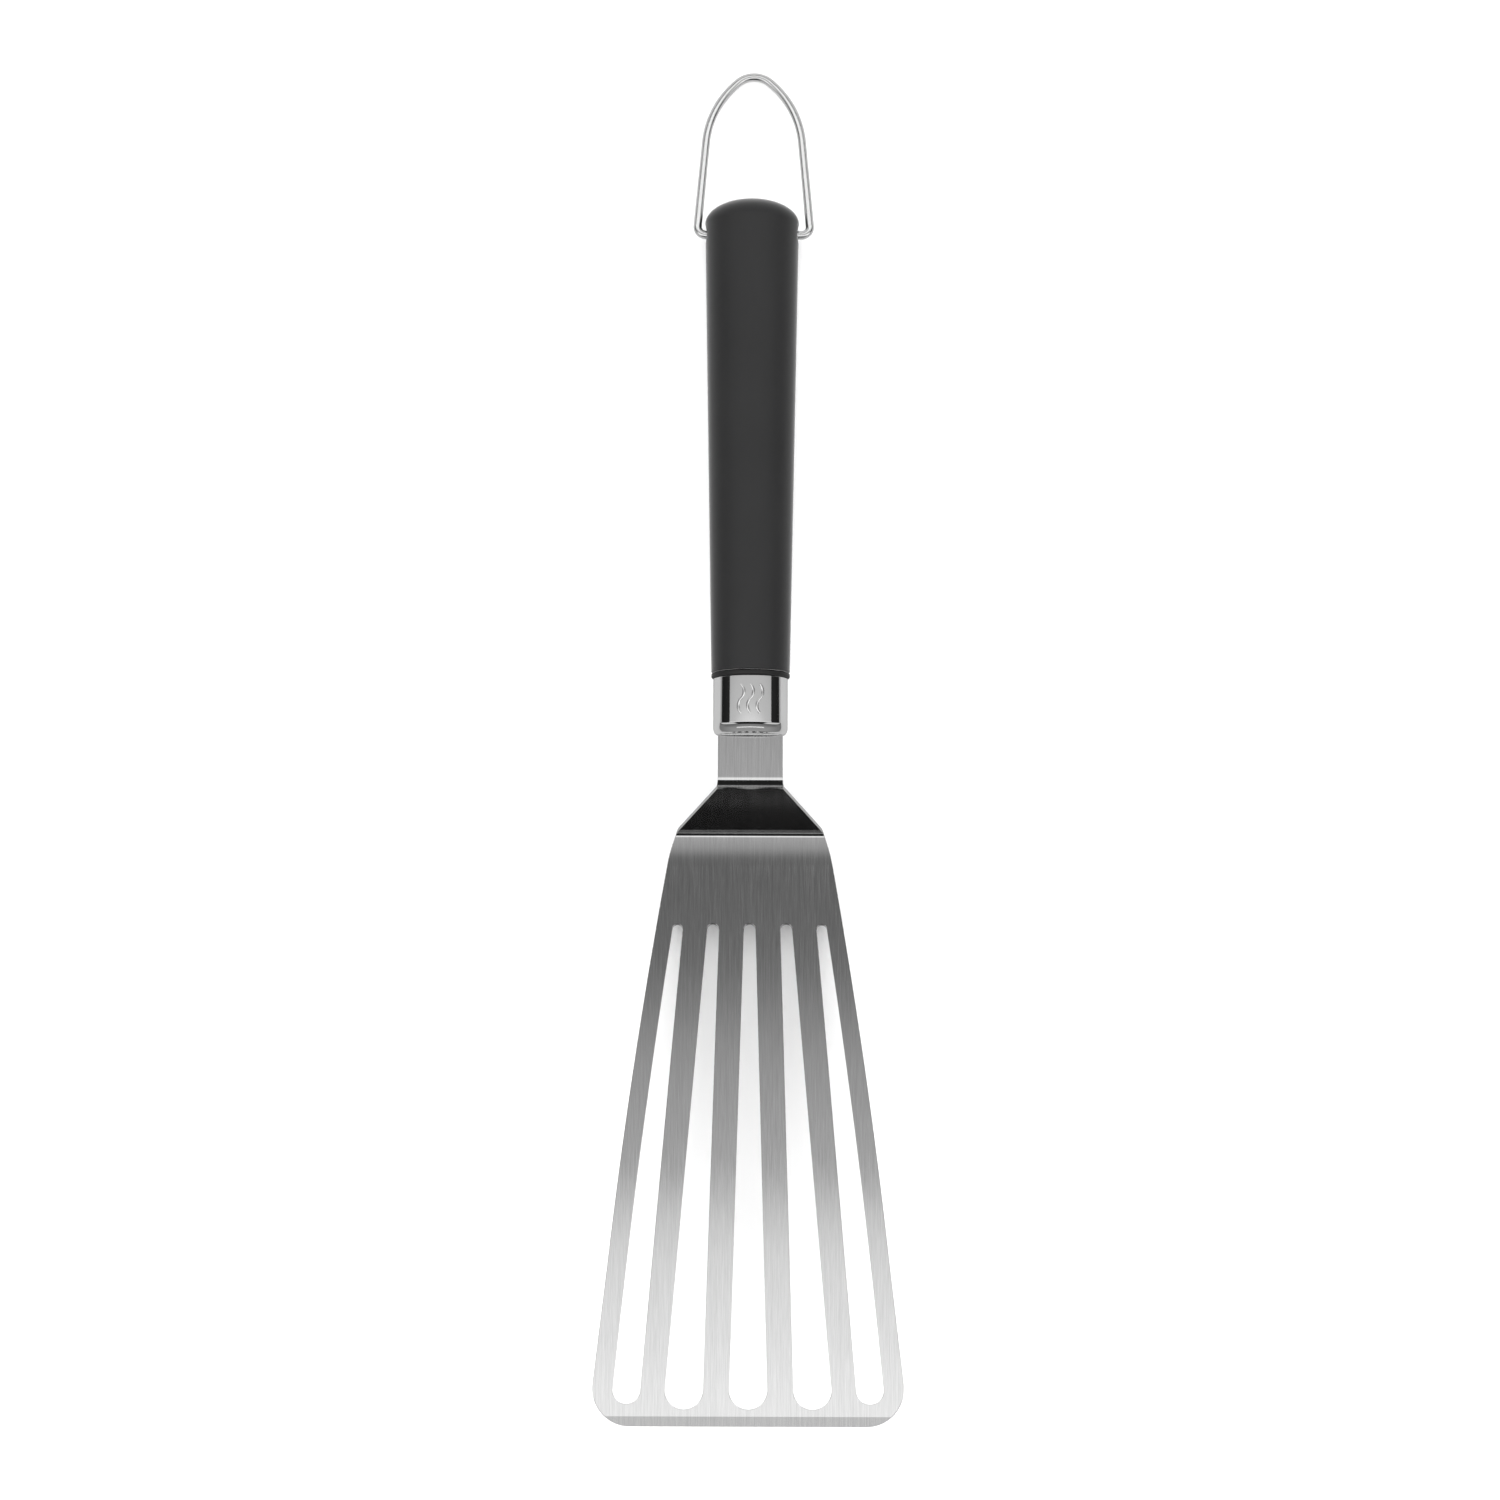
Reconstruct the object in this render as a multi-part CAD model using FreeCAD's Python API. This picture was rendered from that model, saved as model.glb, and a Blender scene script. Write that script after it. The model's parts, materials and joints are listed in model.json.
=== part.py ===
"""Grill spatula: slotted turner blade on a tang handle with a swinging wire hang loop.

Millimetres. Row frame: +Z up, +Y from the blade tip towards the hang loop, +X across. The spatula lies
as it would on a table: on its heel bend, the underside of the butt and the top of the loop, with the blade
tip raised. The origin is on the table, under the middle of the whole object.
"""
import FreeCAD, Part
import math
import os

from FreeCAD import Placement, Rotation, Vector

# ---------------------------------------------------------------- driving dimensions
# pressed sheet
SHEET = 1.2                  # thickness of the stainless sheet
BLADE_PITCH = -16.5          # pitch of the flat blade, walking towards the handle (negative: downhill)
HEEL_PITCH = -8.0            # pitch where the tight heel bend hands over to the gentle one
FACE_PITCH = 65.0            # pitch of the step face
HANDLE_PITCH = -6.9          # pitch of the neck and of the handle
HEEL_RADIUS = 2.6            # middle-of-sheet radii of the bends
GENTLE_RADIUS = 63.6
NECK_RADIUS = 3.2

# blade outline, from the end of the gentle bend to the tip
BLADE_LENGTH = 173.3
BLADE_HALF_START = 26.15
BLADE_HALF_MID = 35.6        # at ARC_END / 2
BLADE_HALF_ARC_END = 42.95
ARC_END = 125.0              # the curved part of each side ends here and runs on straight
CORNER_START = 162.0
CORNER_HALF = 47.0
CORNER_RADIUS = 11.3
BEVEL_LENGTH = 2.9
BEVEL_EDGE = 0.72            # sheet left at the tip edge

# slots: five tapered slots between six tines
SLOT_TOP = 20.4              # distance of the narrow ends' centres from the start of the flat blade
SLOT_TOP_RADIUS = 1.85
SLOT_END = 162.5
SLOT_END_RADIUS = 5.8
SLOT_TOP_PITCH = 11.5
SLOT_END_PITCH = 19.35
SIDE_SLOT_TOP_RADIUS = 1.6
SIDE_SLOT_END_RADIUS = 4.2
SIDE_SLOT_TOP_X = 22.65
SIDE_SLOT_END_X = 36.65
SIDE_SLOT_BULGE = 0.95       # how far the outer edge bows out, in step with the side of the blade

# step face and neck
HEEL_HALF = 23.75            # half widths along the sheet
FACE_HALF_LOW = 22.5
FACE_HALF_HIGH = 10.35
NECK_HALF = 9.95
GENTLE_FULLNESS = 0.45       # how much fuller than straight the sides run round each bend
HEEL_FULLNESS = 0.15
NECK_FULLNESS = 0.15
TANG_HALF = 7.0
TANG_LENGTH = 92.0           # past the ferrule's front
TANG_SHOULDER = 4.0          # the neck stays wide this far into the ferrule

# handle, along its axis from the neck bend
FLATNESS = 0.8               # every handle section is an ellipse this much shallower than wide
FERRULE_START = 12.9
FERRULE_LENGTH = 17.6
FERRULE_HALF = 11.45
FERRULE_WALL = 0.9
FERRULE_NOSE = 3.3           # length of its solid rounded front
FERRULE_ROUND = (1.4, 2.4)   # rounding of the nose seen from above: across, along
FERRULE_DEPTHS = (8.5, 9.16)   # half depths: where the nose starts, and at the rear
FERRULE_NOSE_DEPTHS = (1.0, 0.97, 0.915, 0.855, 0.79, 0.72, 0.64)    # shares of the depth, evenly to the front
COLLAR_LENGTH = 1.4
COLLAR_GROOVE = 0.35
GRIP_HALF_FRONT = 12.05
GRIP_HALF_BUTT = 14.65
BUTT_DOME = 7.7              # length of the rounded butt
HANDLE_END = 181.7
GRIP_WALL = 2.4
GRIP_LIP_RADIUS = 0.5
SPIGOT_HALF = 9.4
GAP = 0.05                   # assembly clearance between pieces that do not move
OVERCUT = 1.0                # how far a cutting shape runs past what it cuts

# rivets through the tang
RIVET_RADIUS = 2.0
RIVET_HEAD_RADIUS = 3.6
RIVET_HEAD = 1.2
RIVET_SINK = 0.9             # head's top below the rigid half's surface
RIVET_PLACES = {"front": 24.0, "rear": 76.0}    # past the ferrule's front

# cored-out pockets in the rigid halves
POCKET_COUNT = 6
POCKET_WEB = 3.0
POCKET_FLOOR = 3.5           # wall left behind each pocket
POCKET_SIDE = 4.0            # wall left beside each pocket

# hang loop
WIRE_RADIUS = 1.3
BORE_CLEARANCE = 0.06        # radial, wire in its seat
LOOP_PIVOT = 171.0           # along the handle
LOOP_LENGTH = 52.3           # pivot to the middle of the wire at the apex
LOOP_APEX_RADIUS = 7.6
LOOP_APEX_TURN = 41.3        # degrees, each side of the apex
LOOP_SIDE_RADIUS = 30.0
LOOP_FLARE = 5.0             # degrees, how the legs spread towards the handle
LOOP_FOOT_RADIUS = 2.7       # middle-of-wire radius where the legs turn in
LOOP_SEAT_X = 7.4            # how near the handle's middle the bores of its seats reach
LOOP_END_X = 8.9             # how near the loop's own middle each end reaches
LOOP_PLAY = 0.4              # the loop sits this far to the +X side
BOSS_RADIUS = 2.9            # rigid seat that carries the wire out through the soft grip
BOSS_INSET = 0.5             # the seat ends this far below the grip's surface
SKIN_CLEARANCE = 0.05

# raised heat-wave emblem on the ferrule
WAVE_COUNT = 3
WAVE_SPACING = 2.9
WAVE_RADIUS = 3.1
WAVE_WIDTH = 0.9
WAVE_RELIEF = 0.3
WAVE_MIDDLE = 10.3           # past the ferrule's front

X_AXIS = Vector(1, 0, 0)
Y_AXIS = Vector(0, 1, 0)
Z_AXIS = Vector(0, 0, 1)
HALF_SHEET = SHEET / 2
LEFT_RIGHT = (-1, 1)
SAME = 0.01                  # heights this close are the same height


# ---------------------------------------------------------------- helpers
def along(pitch):
    """Unit vector in the Y-Z plane that climbs at pitch degrees towards +Y."""
    return Vector(0, math.cos(math.radians(pitch)), math.sin(math.radians(pitch)))


def normal(pitch):
    """Upward normal of a sheet that climbs at pitch degrees."""
    return Vector(0, -math.sin(math.radians(pitch)), math.cos(math.radians(pitch)))


def frame(point, pitch):
    """Placement with local +Y climbing at pitch and local +Z the sheet's upper normal."""
    return Placement(point, Rotation(X_AXIS, pitch))


def placed(shape, placement):
    """A copy of shape moved by placement."""
    moved = shape.copy()
    moved.Placement = placement.multiply(moved.Placement)
    return moved


def polygon(points):
    """Closed wire through (x, y) points."""
    corners = [Vector(x, y, 0) for x, y in points]
    return Part.makePolygon(corners + [corners[0]])


def slab(outline, low, high):
    """Solid between two heights over a closed flat wire."""
    face = Part.Face(outline)
    face.translate(Vector(0, 0, low))
    return face.extrude(Vector(0, 0, high - low))


def arc(start, middle, end):
    """Circular edge through three (x, y) points."""
    return Part.Arc(*[Vector(x, y, 0) for x, y in (start, middle, end)]).toShape()


def line(start, end):
    """Straight edge between two (x, y) points."""
    return Part.LineSegment(Vector(*start, 0), Vector(*end, 0)).toShape()


def drum(radius, start, end, x=0.0, y=0.0):
    """Cylinder along local Z."""
    return Part.makeCylinder(radius, end - start, Vector(x, y, start), Z_AXIS)


def cross_drum(radius, start, end, y):
    """Cylinder along local X."""
    return Part.makeCylinder(radius, end - start, Vector(start, y, 0), X_AXIS)


# ---------------------------------------------------------------- the bent sheet
def sheet_section(point, pitch, half):
    """Rectangle across the sheet at a station of its path."""
    corners = [(-half, -HALF_SHEET), (half, -HALF_SHEET), (half, HALF_SHEET), (-half, HALF_SHEET)]
    return Part.makePolygon([point + X_AXIS * x + normal(pitch) * z for x, z in corners + corners[:1]])


def sheet_bend(centre, radius, pitches, halves, side, stations):
    """Bent stretch of sheet between two pitches, its half width easing from one value to the next.

    side is +1 where the bend's centre is above the sheet and -1 where it is below.
    """
    sections = []
    for step in range(stations + 1):
        share = step / stations
        pitch = pitches[0] + (pitches[1] - pitches[0]) * share
        half = halves[0] * (1 - share) ** 2 + halves[1] * 2 * share * (1 - share) + halves[2] * share ** 2
        sections.append(sheet_section(centre - normal(pitch) * radius * side, pitch, half))
    return Part.makeLoft(sections, True, False)


def blade_outline():
    """Closed outline of the flat blade, tip towards local -Y."""
    start = (BLADE_HALF_START, 0)
    middle = (BLADE_HALF_MID, -ARC_END / 2)
    end = (BLADE_HALF_ARC_END, -ARC_END)
    flare = math.atan2(CORNER_HALF - BLADE_HALF_ARC_END, CORNER_START - ARC_END)
    tip_half = CORNER_HALF + (BLADE_LENGTH - CORNER_START) * math.tan(flare)
    # rounded corner: centre at one radius from the side line and from the tip edge
    centre_y = -(BLADE_LENGTH - CORNER_RADIUS)
    centre_x = tip_half - CORNER_RADIUS * (1 / math.cos(flare) + math.tan(flare))
    side = (centre_x + CORNER_RADIUS * math.cos(flare), centre_y + CORNER_RADIUS * math.sin(flare))
    turn = math.radians(45) - flare / 2
    bulge = (centre_x + CORNER_RADIUS * math.cos(turn), centre_y - CORNER_RADIUS * math.sin(turn))
    tip = (centre_x, -BLADE_LENGTH)

    def mirror(point):
        return (-point[0], point[1])

    edges = [arc(start, middle, end), line(end, side), arc(side, bulge, tip), line(tip, mirror(tip))]
    edges += [arc(mirror(tip), mirror(bulge), mirror(side)), line(mirror(side), mirror(end))]
    edges += [arc(mirror(end), mirror(middle), mirror(start)), line(mirror(start), start)]
    return Part.Wire(Part.__sortEdges__(edges))


def slot_outline(top_x, top_radius, end_x, end_radius, bulge=0.0):
    """Tapered slot: the hull of a small circle near the heel and a large one near the tip.

    bulge bows the edge on the far side from the middle of the blade outwards.
    """
    run = SLOT_END - SLOT_TOP
    lean = math.atan2(end_x - top_x, run)
    taper = math.asin((end_radius - top_radius) / math.hypot(end_x - top_x, run))
    away = 1 if end_x >= 0 else -1

    def rim(x, y, radius, angle):
        return (x + radius * math.cos(angle), y + radius * math.sin(angle))

    # the slot's own axis runs from the top circle to the end circle
    heading = -math.pi / 2 + lean
    right = heading + math.pi / 2 + taper
    left = heading - math.pi / 2 - taper
    top = (top_x, -SLOT_TOP, top_radius)
    end = (end_x, -SLOT_END, end_radius)
    top_right, end_right = rim(*top, right), rim(*end, right)
    top_left, end_left = rim(*top, left), rim(*end, left)

    def edge(first, last, outward):
        if not outward:
            return line(first, last)
        middle = ((first[0] + last[0]) / 2 + away * bulge, (first[1] + last[1]) / 2)
        return arc(first, middle, last)

    edges = [edge(top_right, end_right, bulge and away > 0), arc(end_right, rim(*end, heading), end_left)]
    edges += [edge(end_left, top_left, bulge and away < 0)]
    edges += [arc(top_left, rim(*top, heading + math.pi), top_right)]
    return Part.Wire(edges)


def slot_list():
    """The five slot outlines."""
    outlines = []
    for number in (-1, 0, 1):
        top_x = number * SLOT_TOP_PITCH
        outlines.append(slot_outline(top_x, SLOT_TOP_RADIUS, number * SLOT_END_PITCH, SLOT_END_RADIUS))
    for side in LEFT_RIGHT:
        top_x, end_x = side * SIDE_SLOT_TOP_X, side * SIDE_SLOT_END_X
        outlines.append(slot_outline(top_x, SIDE_SLOT_TOP_RADIUS, end_x, SIDE_SLOT_END_RADIUS, SIDE_SLOT_BULGE))
    return outlines


def flat_blade():
    """The flat slotted blade in its own frame, with its tip bevelled on the upper side."""
    blade = slab(blade_outline(), -HALF_SHEET, HALF_SHEET)
    for outline in slot_list():
        blade = blade.cut(slab(outline, -SHEET, SHEET))
    high = HALF_SHEET
    low = -HALF_SHEET + BEVEL_EDGE
    # wedge over the tip edge: the bevel plane carried on past the tip
    fall = (high - low) / BEVEL_LENGTH * OVERCUT
    beyond = -BLADE_LENGTH - OVERCUT
    profile = [(-BLADE_LENGTH + BEVEL_LENGTH, high), (beyond, low - fall), (beyond, SHEET)]
    profile += [(-BLADE_LENGTH + BEVEL_LENGTH, SHEET)]
    points = [Vector(-2 * CORNER_HALF, y, z) for y, z in profile]
    wedge = Part.Face(Part.makePolygon(points + points[:1])).extrude(X_AXIS * 4 * CORNER_HALF)
    return blade.cut(wedge)


def tang_plate():
    """Neck and tang in the handle frame: wide neck, shoulders inside the ferrule, long pierced tang."""
    shoulder = FERRULE_START + TANG_SHOULDER
    narrow = shoulder + (NECK_HALF - TANG_HALF)
    end = FERRULE_START + TANG_LENGTH
    chamfer = TANG_HALF / 2
    right = [(NECK_HALF, 0), (NECK_HALF, shoulder), (TANG_HALF, narrow)]
    right += [(TANG_HALF, end - chamfer), (TANG_HALF - chamfer, end)]
    left = [(-x, y) for x, y in reversed(right)]
    plate = slab(polygon(right + left), -HALF_SHEET, HALF_SHEET)
    for place in RIVET_PLACES.values():
        plate = plate.cut(drum(RIVET_RADIUS, -SHEET, SHEET, 0, FERRULE_START + place))
    return plate


# ---------------------------------------------------------------- handle pieces, in the handle frame
def oval(profile):
    """Solid of revolution about the handle axis, flattened to the handle's oval.

    profile is a list of edges in the local X-Y plane that closes on the axis.
    """
    round_solid = Part.Face(Part.Wire(Part.__sortEdges__(profile))).revolve(Vector(), Y_AXIS, 360)
    flatten = FreeCAD.Matrix()
    flatten.A33 = FLATNESS
    return Part.Solid(round_solid.transformGeometry(flatten))


def quarter(centre_y, across, length, x=0.0, up=True):
    """Quarter ellipse from (x + across, centre_y) to (x, centre_y +- length)."""
    lean = math.sqrt(0.5)
    unit = arc((1, 0), (lean, lean), (0, 1))
    stretch = FreeCAD.Matrix()
    stretch.A11 = across
    stretch.A22 = length if up else -length
    curve = unit.transformGeometry(stretch)
    curve.translate(Vector(x, centre_y, 0))
    return curve


def grip_half(place):
    """Half width of the handle at a place along its axis."""
    start = FERRULE_START + FERRULE_LENGTH
    share = (place - start) / (HANDLE_END - BUTT_DOME - start)
    return GRIP_HALF_FRONT + (GRIP_HALF_BUTT - GRIP_HALF_FRONT) * share


def domed_body(start, inset, end_inset):
    """Closed handle shape from start to the butt, inset inwards all round."""
    front = grip_half(start) - inset
    butt = GRIP_HALF_BUTT - inset
    dome_start = HANDLE_END - BUTT_DOME
    dome = BUTT_DOME - end_inset
    edges = [line((0, start), (front, start)), line((front, start), (butt, dome_start))]
    edges += [quarter(dome_start, butt, dome), line((0, dome_start + dome), (0, start))]
    return oval(edges)


def ring_body(start, end, half, edge_radius=0.0):
    """Straight oval drum with an optional rounded front edge."""
    edges = [line((0, end), (half, end)), line((half, end), (half, start + edge_radius))]
    if edge_radius:
        edges.append(quarter(start + edge_radius, edge_radius, edge_radius, half - edge_radius, up=False))
    edges += [line((half - edge_radius, start), (0, start)), line((0, start), (0, end))]
    return oval(edges)


def oval_loft(rows, ruled):
    """Solid through ovals across the handle's axis, each given as (place, half width, half depth)."""
    sections = []
    for place, half, depth in rows:
        ring = Part.Ellipse(Vector(), half, depth).toShape()
        ring.Placement = Placement(Vector(0, place, 0), Rotation(X_AXIS, 90))
        sections.append(Part.Wire([ring]))
    return Part.makeLoft(sections, True, ruled)


def ferrule_nose():
    """Solid front of the ferrule: ovals that close in a little at the sides and more above and below."""
    across, length = FERRULE_ROUND
    last = len(FERRULE_NOSE_DEPTHS) - 1
    rows = []
    for number, depth in enumerate(FERRULE_NOSE_DEPTHS):
        forward = FERRULE_NOSE * number / last
        share = max(0.0, forward - (FERRULE_NOSE - length)) / length
        half = FERRULE_HALF - across * (1 - math.sqrt(1 - share ** 2))
        rows.append((FERRULE_START + FERRULE_NOSE - forward, half, FERRULE_DEPTHS[0] * depth))
    return oval_loft(rows, False)


def ferrule_drum(start, end, inset):
    """Straight-sided drum behind the nose, its depth growing to the rear, inset inwards all round."""
    wall_start = FERRULE_START + FERRULE_NOSE
    slope = (FERRULE_DEPTHS[1] - FERRULE_DEPTHS[0]) / (FERRULE_LENGTH - FERRULE_NOSE)
    rows = []
    for place in (start, end):
        depth = FERRULE_DEPTHS[0] + slope * (place - wall_start)
        rows.append((place, FERRULE_HALF - inset, depth - inset))
    return oval_loft(rows, True)


def wave_strokes():
    """Flat outlines of three rising heat waves, each two arcs with round ends."""
    centre = FERRULE_START + WAVE_MIDDLE
    top = 2 * FERRULE_HALF
    strokes = []
    for number in range(WAVE_COUNT):
        x = (number - (WAVE_COUNT - 1) / 2) * WAVE_SPACING
        reach = WAVE_RADIUS * math.sqrt(2)
        for side in LEFT_RIGHT:
            # each arc is a quarter circle, so the wave leans at 45 degrees where the two meet
            hub_x = x - side * WAVE_RADIUS * math.sqrt(0.5)
            hub_y = centre + side * reach / 2
            start = -45 if side > 0 else 135
            outer = Part.makeCylinder(WAVE_RADIUS + WAVE_WIDTH / 2, top, Vector(hub_x, hub_y, 0), Z_AXIS, 90)
            inner = drum(WAVE_RADIUS - WAVE_WIDTH / 2, -OVERCUT, top + OVERCUT, hub_x, hub_y)
            ring = outer.cut(inner)
            ring.rotate(Vector(hub_x, hub_y, 0), Z_AXIS, start)
            strokes.append(ring)
            strokes.append(drum(WAVE_WIDTH / 2, 0, top, x, centre + side * reach))
        strokes.append(drum(WAVE_WIDTH / 2, 0, top, x, centre))
    return strokes[0].fuse(strokes[1:])


def make_ferrule():
    """Metal collar: solid rounded nose with a slit for the neck, thin wall behind, raised waves on top."""
    wall_start = FERRULE_START + FERRULE_NOSE
    end = FERRULE_START + FERRULE_LENGTH - GAP
    body = ferrule_drum(wall_start, end, 0).fuse(ferrule_nose())
    relief = ferrule_drum(wall_start, end - OVERCUT, -WAVE_RELIEF)
    body = body.fuse(relief.common(wave_strokes()))
    hollow = ferrule_drum(wall_start, end + OVERCUT, FERRULE_WALL)
    slit = Part.makeBox(2 * (NECK_HALF + GAP), FERRULE_NOSE + 2 * OVERCUT, SHEET + 2 * GAP)
    slit.translate(Vector(-NECK_HALF - GAP, FERRULE_START - OVERCUT, -HALF_SHEET - GAP))
    return body.cut(hollow).cut(slit)


def make_front_collar():
    """Narrow lip between the ferrule and the grip, with a hub that stands the grip off by the groove."""
    start = FERRULE_START + FERRULE_LENGTH
    lip = ring_body(start, start + COLLAR_LENGTH, GRIP_HALF_FRONT, GRIP_LIP_RADIUS)
    hub = ring_body(start, start + COLLAR_LENGTH + COLLAR_GROOVE - GAP, GRIP_HALF_FRONT - 2 * GRIP_LIP_RADIUS)
    bore = ring_body(start - OVERCUT, start + 2 * COLLAR_LENGTH, SPIGOT_HALF + GAP)
    return lip.fuse(hub).cut(bore)


def seat_bores(radius, reach):
    """The two crossways holes at the butt, each from near the middle out past the grip."""
    holes = []
    for side in LEFT_RIGHT:
        inner = side * reach
        outer = side * 2 * GRIP_HALF_BUTT
        holes.append(cross_drum(radius, min(inner, outer), max(inner, outer), LOOP_PIVOT))
    return holes[0].fuse(holes[1])


def make_grip():
    """Soft sleeve over the rigid halves, closed by its domed butt, pierced for the loop's seats."""
    start = FERRULE_START + FERRULE_LENGTH + COLLAR_LENGTH + COLLAR_GROOVE
    body = domed_body(start, 0, 0)
    lip = ring_body(start - OVERCUT, start + GRIP_LIP_RADIUS, 2 * GRIP_HALF_BUTT)
    keep = ring_body(start, start + 2 * GRIP_LIP_RADIUS, grip_half(start), GRIP_LIP_RADIUS)
    body = body.cut(lip.cut(keep))
    hollow = domed_body(start - OVERCUT, GRIP_WALL, GRIP_WALL)
    return body.cut(hollow).cut(seat_bores(BOSS_RADIUS + SKIN_CLEARANCE, GRIP_HALF_BUTT / 2))


def make_core():
    """Both rigid halves as one shape, before they are split: body, spigot, seats, pockets."""
    start = FERRULE_START + FERRULE_LENGTH + COLLAR_LENGTH + COLLAR_GROOVE
    core = domed_body(start, GRIP_WALL + GAP, GRIP_WALL + GAP)
    spigot_front = FERRULE_START + FERRULE_NOSE + OVERCUT
    core = core.fuse(ring_body(spigot_front, start + OVERCUT, SPIGOT_HALF))
    bosses = seat_bores(BOSS_RADIUS, GRIP_HALF_BUTT / 2).common(domed_body(start, BOSS_INSET, BOSS_INSET))
    core = core.fuse(bosses).cut(seat_bores(WIRE_RADIUS + BORE_CLEARANCE, LOOP_SEAT_X))
    core = core.cut(tang_seat(2 * GAP))
    for place in RIVET_PLACES.values():
        y = FERRULE_START + place
        core = core.cut(drum(RIVET_RADIUS + GAP, -GRIP_HALF_BUTT, GRIP_HALF_BUTT, 0, y))
        for side in LEFT_RIGHT:
            depth = rivet_seat(place)
            low, high = sorted((side * depth, side * GRIP_HALF_BUTT))
            core = core.cut(drum(RIVET_HEAD_RADIUS + GAP, low, high, 0, y))
    return core


def tang_seat(clearance):
    """Room for the neck's shoulders and the tang, a little larger all round."""
    shoulder = FERRULE_START + TANG_SHOULDER
    narrow = shoulder + (NECK_HALF - TANG_HALF)
    end = FERRULE_START + TANG_LENGTH + clearance
    wide = SPIGOT_HALF + OVERCUT
    half = TANG_HALF + clearance
    right = [(wide, 0), (wide, narrow - clearance), (half, narrow + clearance), (half, end)]
    left = [(-x, y) for x, y in reversed(right)]
    return slab(polygon(right + left), -HALF_SHEET - GAP, HALF_SHEET + GAP)


def rivet_seat(place):
    """Height above the parting plane at which a rivet's head sits."""
    half = grip_half(FERRULE_START + place)
    return (half - GRIP_WALL) * FLATNESS - RIVET_HEAD - RIVET_SINK


def pockets(side):
    """Cored-out pockets in one rigid half, open at the parting plane, between cross webs."""
    rear = FERRULE_START + RIVET_PLACES["rear"] + RIVET_HEAD_RADIUS + POCKET_WEB
    end = LOOP_PIVOT - BOSS_RADIUS - POCKET_WEB
    pitch = (end - rear) / POCKET_COUNT
    cuts = []
    for number in range(POCKET_COUNT):
        start = rear + number * pitch
        half = grip_half(start) - GRIP_WALL
        half_width = half - POCKET_SIDE
        depth = half * FLATNESS - POCKET_FLOOR
        pocket = Part.makeBox(2 * half_width, pitch - POCKET_WEB, depth)
        pocket.translate(Vector(-half_width, start, 0 if side > 0 else -depth))
        cuts.append(pocket)
    return cuts[0].multiFuse(cuts[1:])


def make_core_half(core, side):
    """One rigid half: side +1 is the upper one."""
    reach = 3 * HANDLE_END
    keep = Part.makeBox(reach, reach, reach)
    keep.translate(Vector(-reach / 2, -reach / 2, GAP / 2 if side > 0 else -reach - GAP / 2))
    return core.common(keep).cut(pockets(side))


def make_rivet(place):
    """Solid rivet with two low round heads, across the tang."""
    y = FERRULE_START + place
    seat = rivet_seat(place) + GAP
    rivet = drum(RIVET_RADIUS - GAP, -seat, seat, 0, y)
    for side in LEFT_RIGHT:
        low, high = sorted((side * seat, side * (seat + RIVET_HEAD)))
        head = drum(RIVET_HEAD_RADIUS, low, high, 0, y)
        top = side * (seat + RIVET_HEAD)
        bounds = [(edge, edge.BoundBox) for edge in head.Edges]
        rim = [edge for edge, box in bounds if abs(box.ZMax - top) < SAME and abs(box.ZMin - top) < SAME]
        rivet = rivet.fuse(head.makeFillet(RIVET_HEAD / 2, rim))
    return rivet.removeSplitter()


# ---------------------------------------------------------------- hang loop, in its own flat frame
def make_hang_loop():
    """Bent wire: local Y runs from the pivot axis to the apex, local X across."""
    apex = Vector(0, LOOP_LENGTH, 0)
    turn = math.radians(LOOP_APEX_TURN)
    flare = math.radians(LOOP_FLARE)

    def spoke(angle):
        return Vector(math.sin(angle), math.cos(angle), 0)

    crown = apex - Y_AXIS * LOOP_APEX_RADIUS
    first = crown + spoke(turn) * LOOP_APEX_RADIUS
    side_hub = first - spoke(turn) * LOOP_SIDE_RADIUS
    leg_angle = math.pi / 2 - flare
    second = side_hub + spoke(leg_angle) * LOOP_SIDE_RADIUS
    side_mid = side_hub + spoke((turn + leg_angle) / 2) * LOOP_SIDE_RADIUS
    # the leg runs down to the foot bend, whose centre is one foot radius above the pivot axis
    outward = Vector(math.sin(flare), -math.cos(flare), 0)
    foot_drop = LOOP_FOOT_RADIUS * (1 - math.sin(flare))
    foot = second + outward * ((second.y - foot_drop) / math.cos(flare))
    foot_hub = foot - spoke(leg_angle) * LOOP_FOOT_RADIUS
    turned = Vector(foot_hub.x, 0, 0)
    foot_mid = foot_hub + spoke((leg_angle + math.pi) / 2) * LOOP_FOOT_RADIUS
    end = Vector(LOOP_END_X, 0, 0)

    def flip(point):
        return Vector(-point.x, point.y, point.z)

    right = [Part.Arc(first, side_mid, second).toShape(), Part.LineSegment(second, foot).toShape()]
    right += [Part.Arc(foot, foot_mid, turned).toShape(), Part.LineSegment(turned, end).toShape()]
    left = [Part.LineSegment(flip(end), flip(turned)).toShape()]
    left += [Part.Arc(flip(turned), flip(foot_mid), flip(foot)).toShape()]
    left += [Part.LineSegment(flip(foot), flip(second)).toShape()]
    left += [Part.Arc(flip(second), flip(side_mid), flip(first)).toShape()]
    path = Part.Wire(left + [Part.Arc(flip(first), apex, first).toShape()] + right)
    stretches = []
    for edge in path.Edges:
        start = edge.Curve.value(edge.FirstParameter)
        heading = edge.tangentAt(edge.FirstParameter)
        section = Part.Wire(Part.makeCircle(WIRE_RADIUS, start, heading))
        stretches.append(Part.Wire([edge]).makePipeShell([section], True, True))
    loop = stretches[0].fuse(stretches[1:])
    loop.translate(X_AXIS * LOOP_PLAY)
    return loop.removeSplitter()


# ---------------------------------------------------------------- assembly
def neck_height(grip):
    """Height of the neck bend at which the underside of the butt just touches the table."""
    tilted = placed(grip, frame(Vector(), HANDLE_PITCH))
    return -tilted.optimalBoundingBox(False).ZMin


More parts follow.
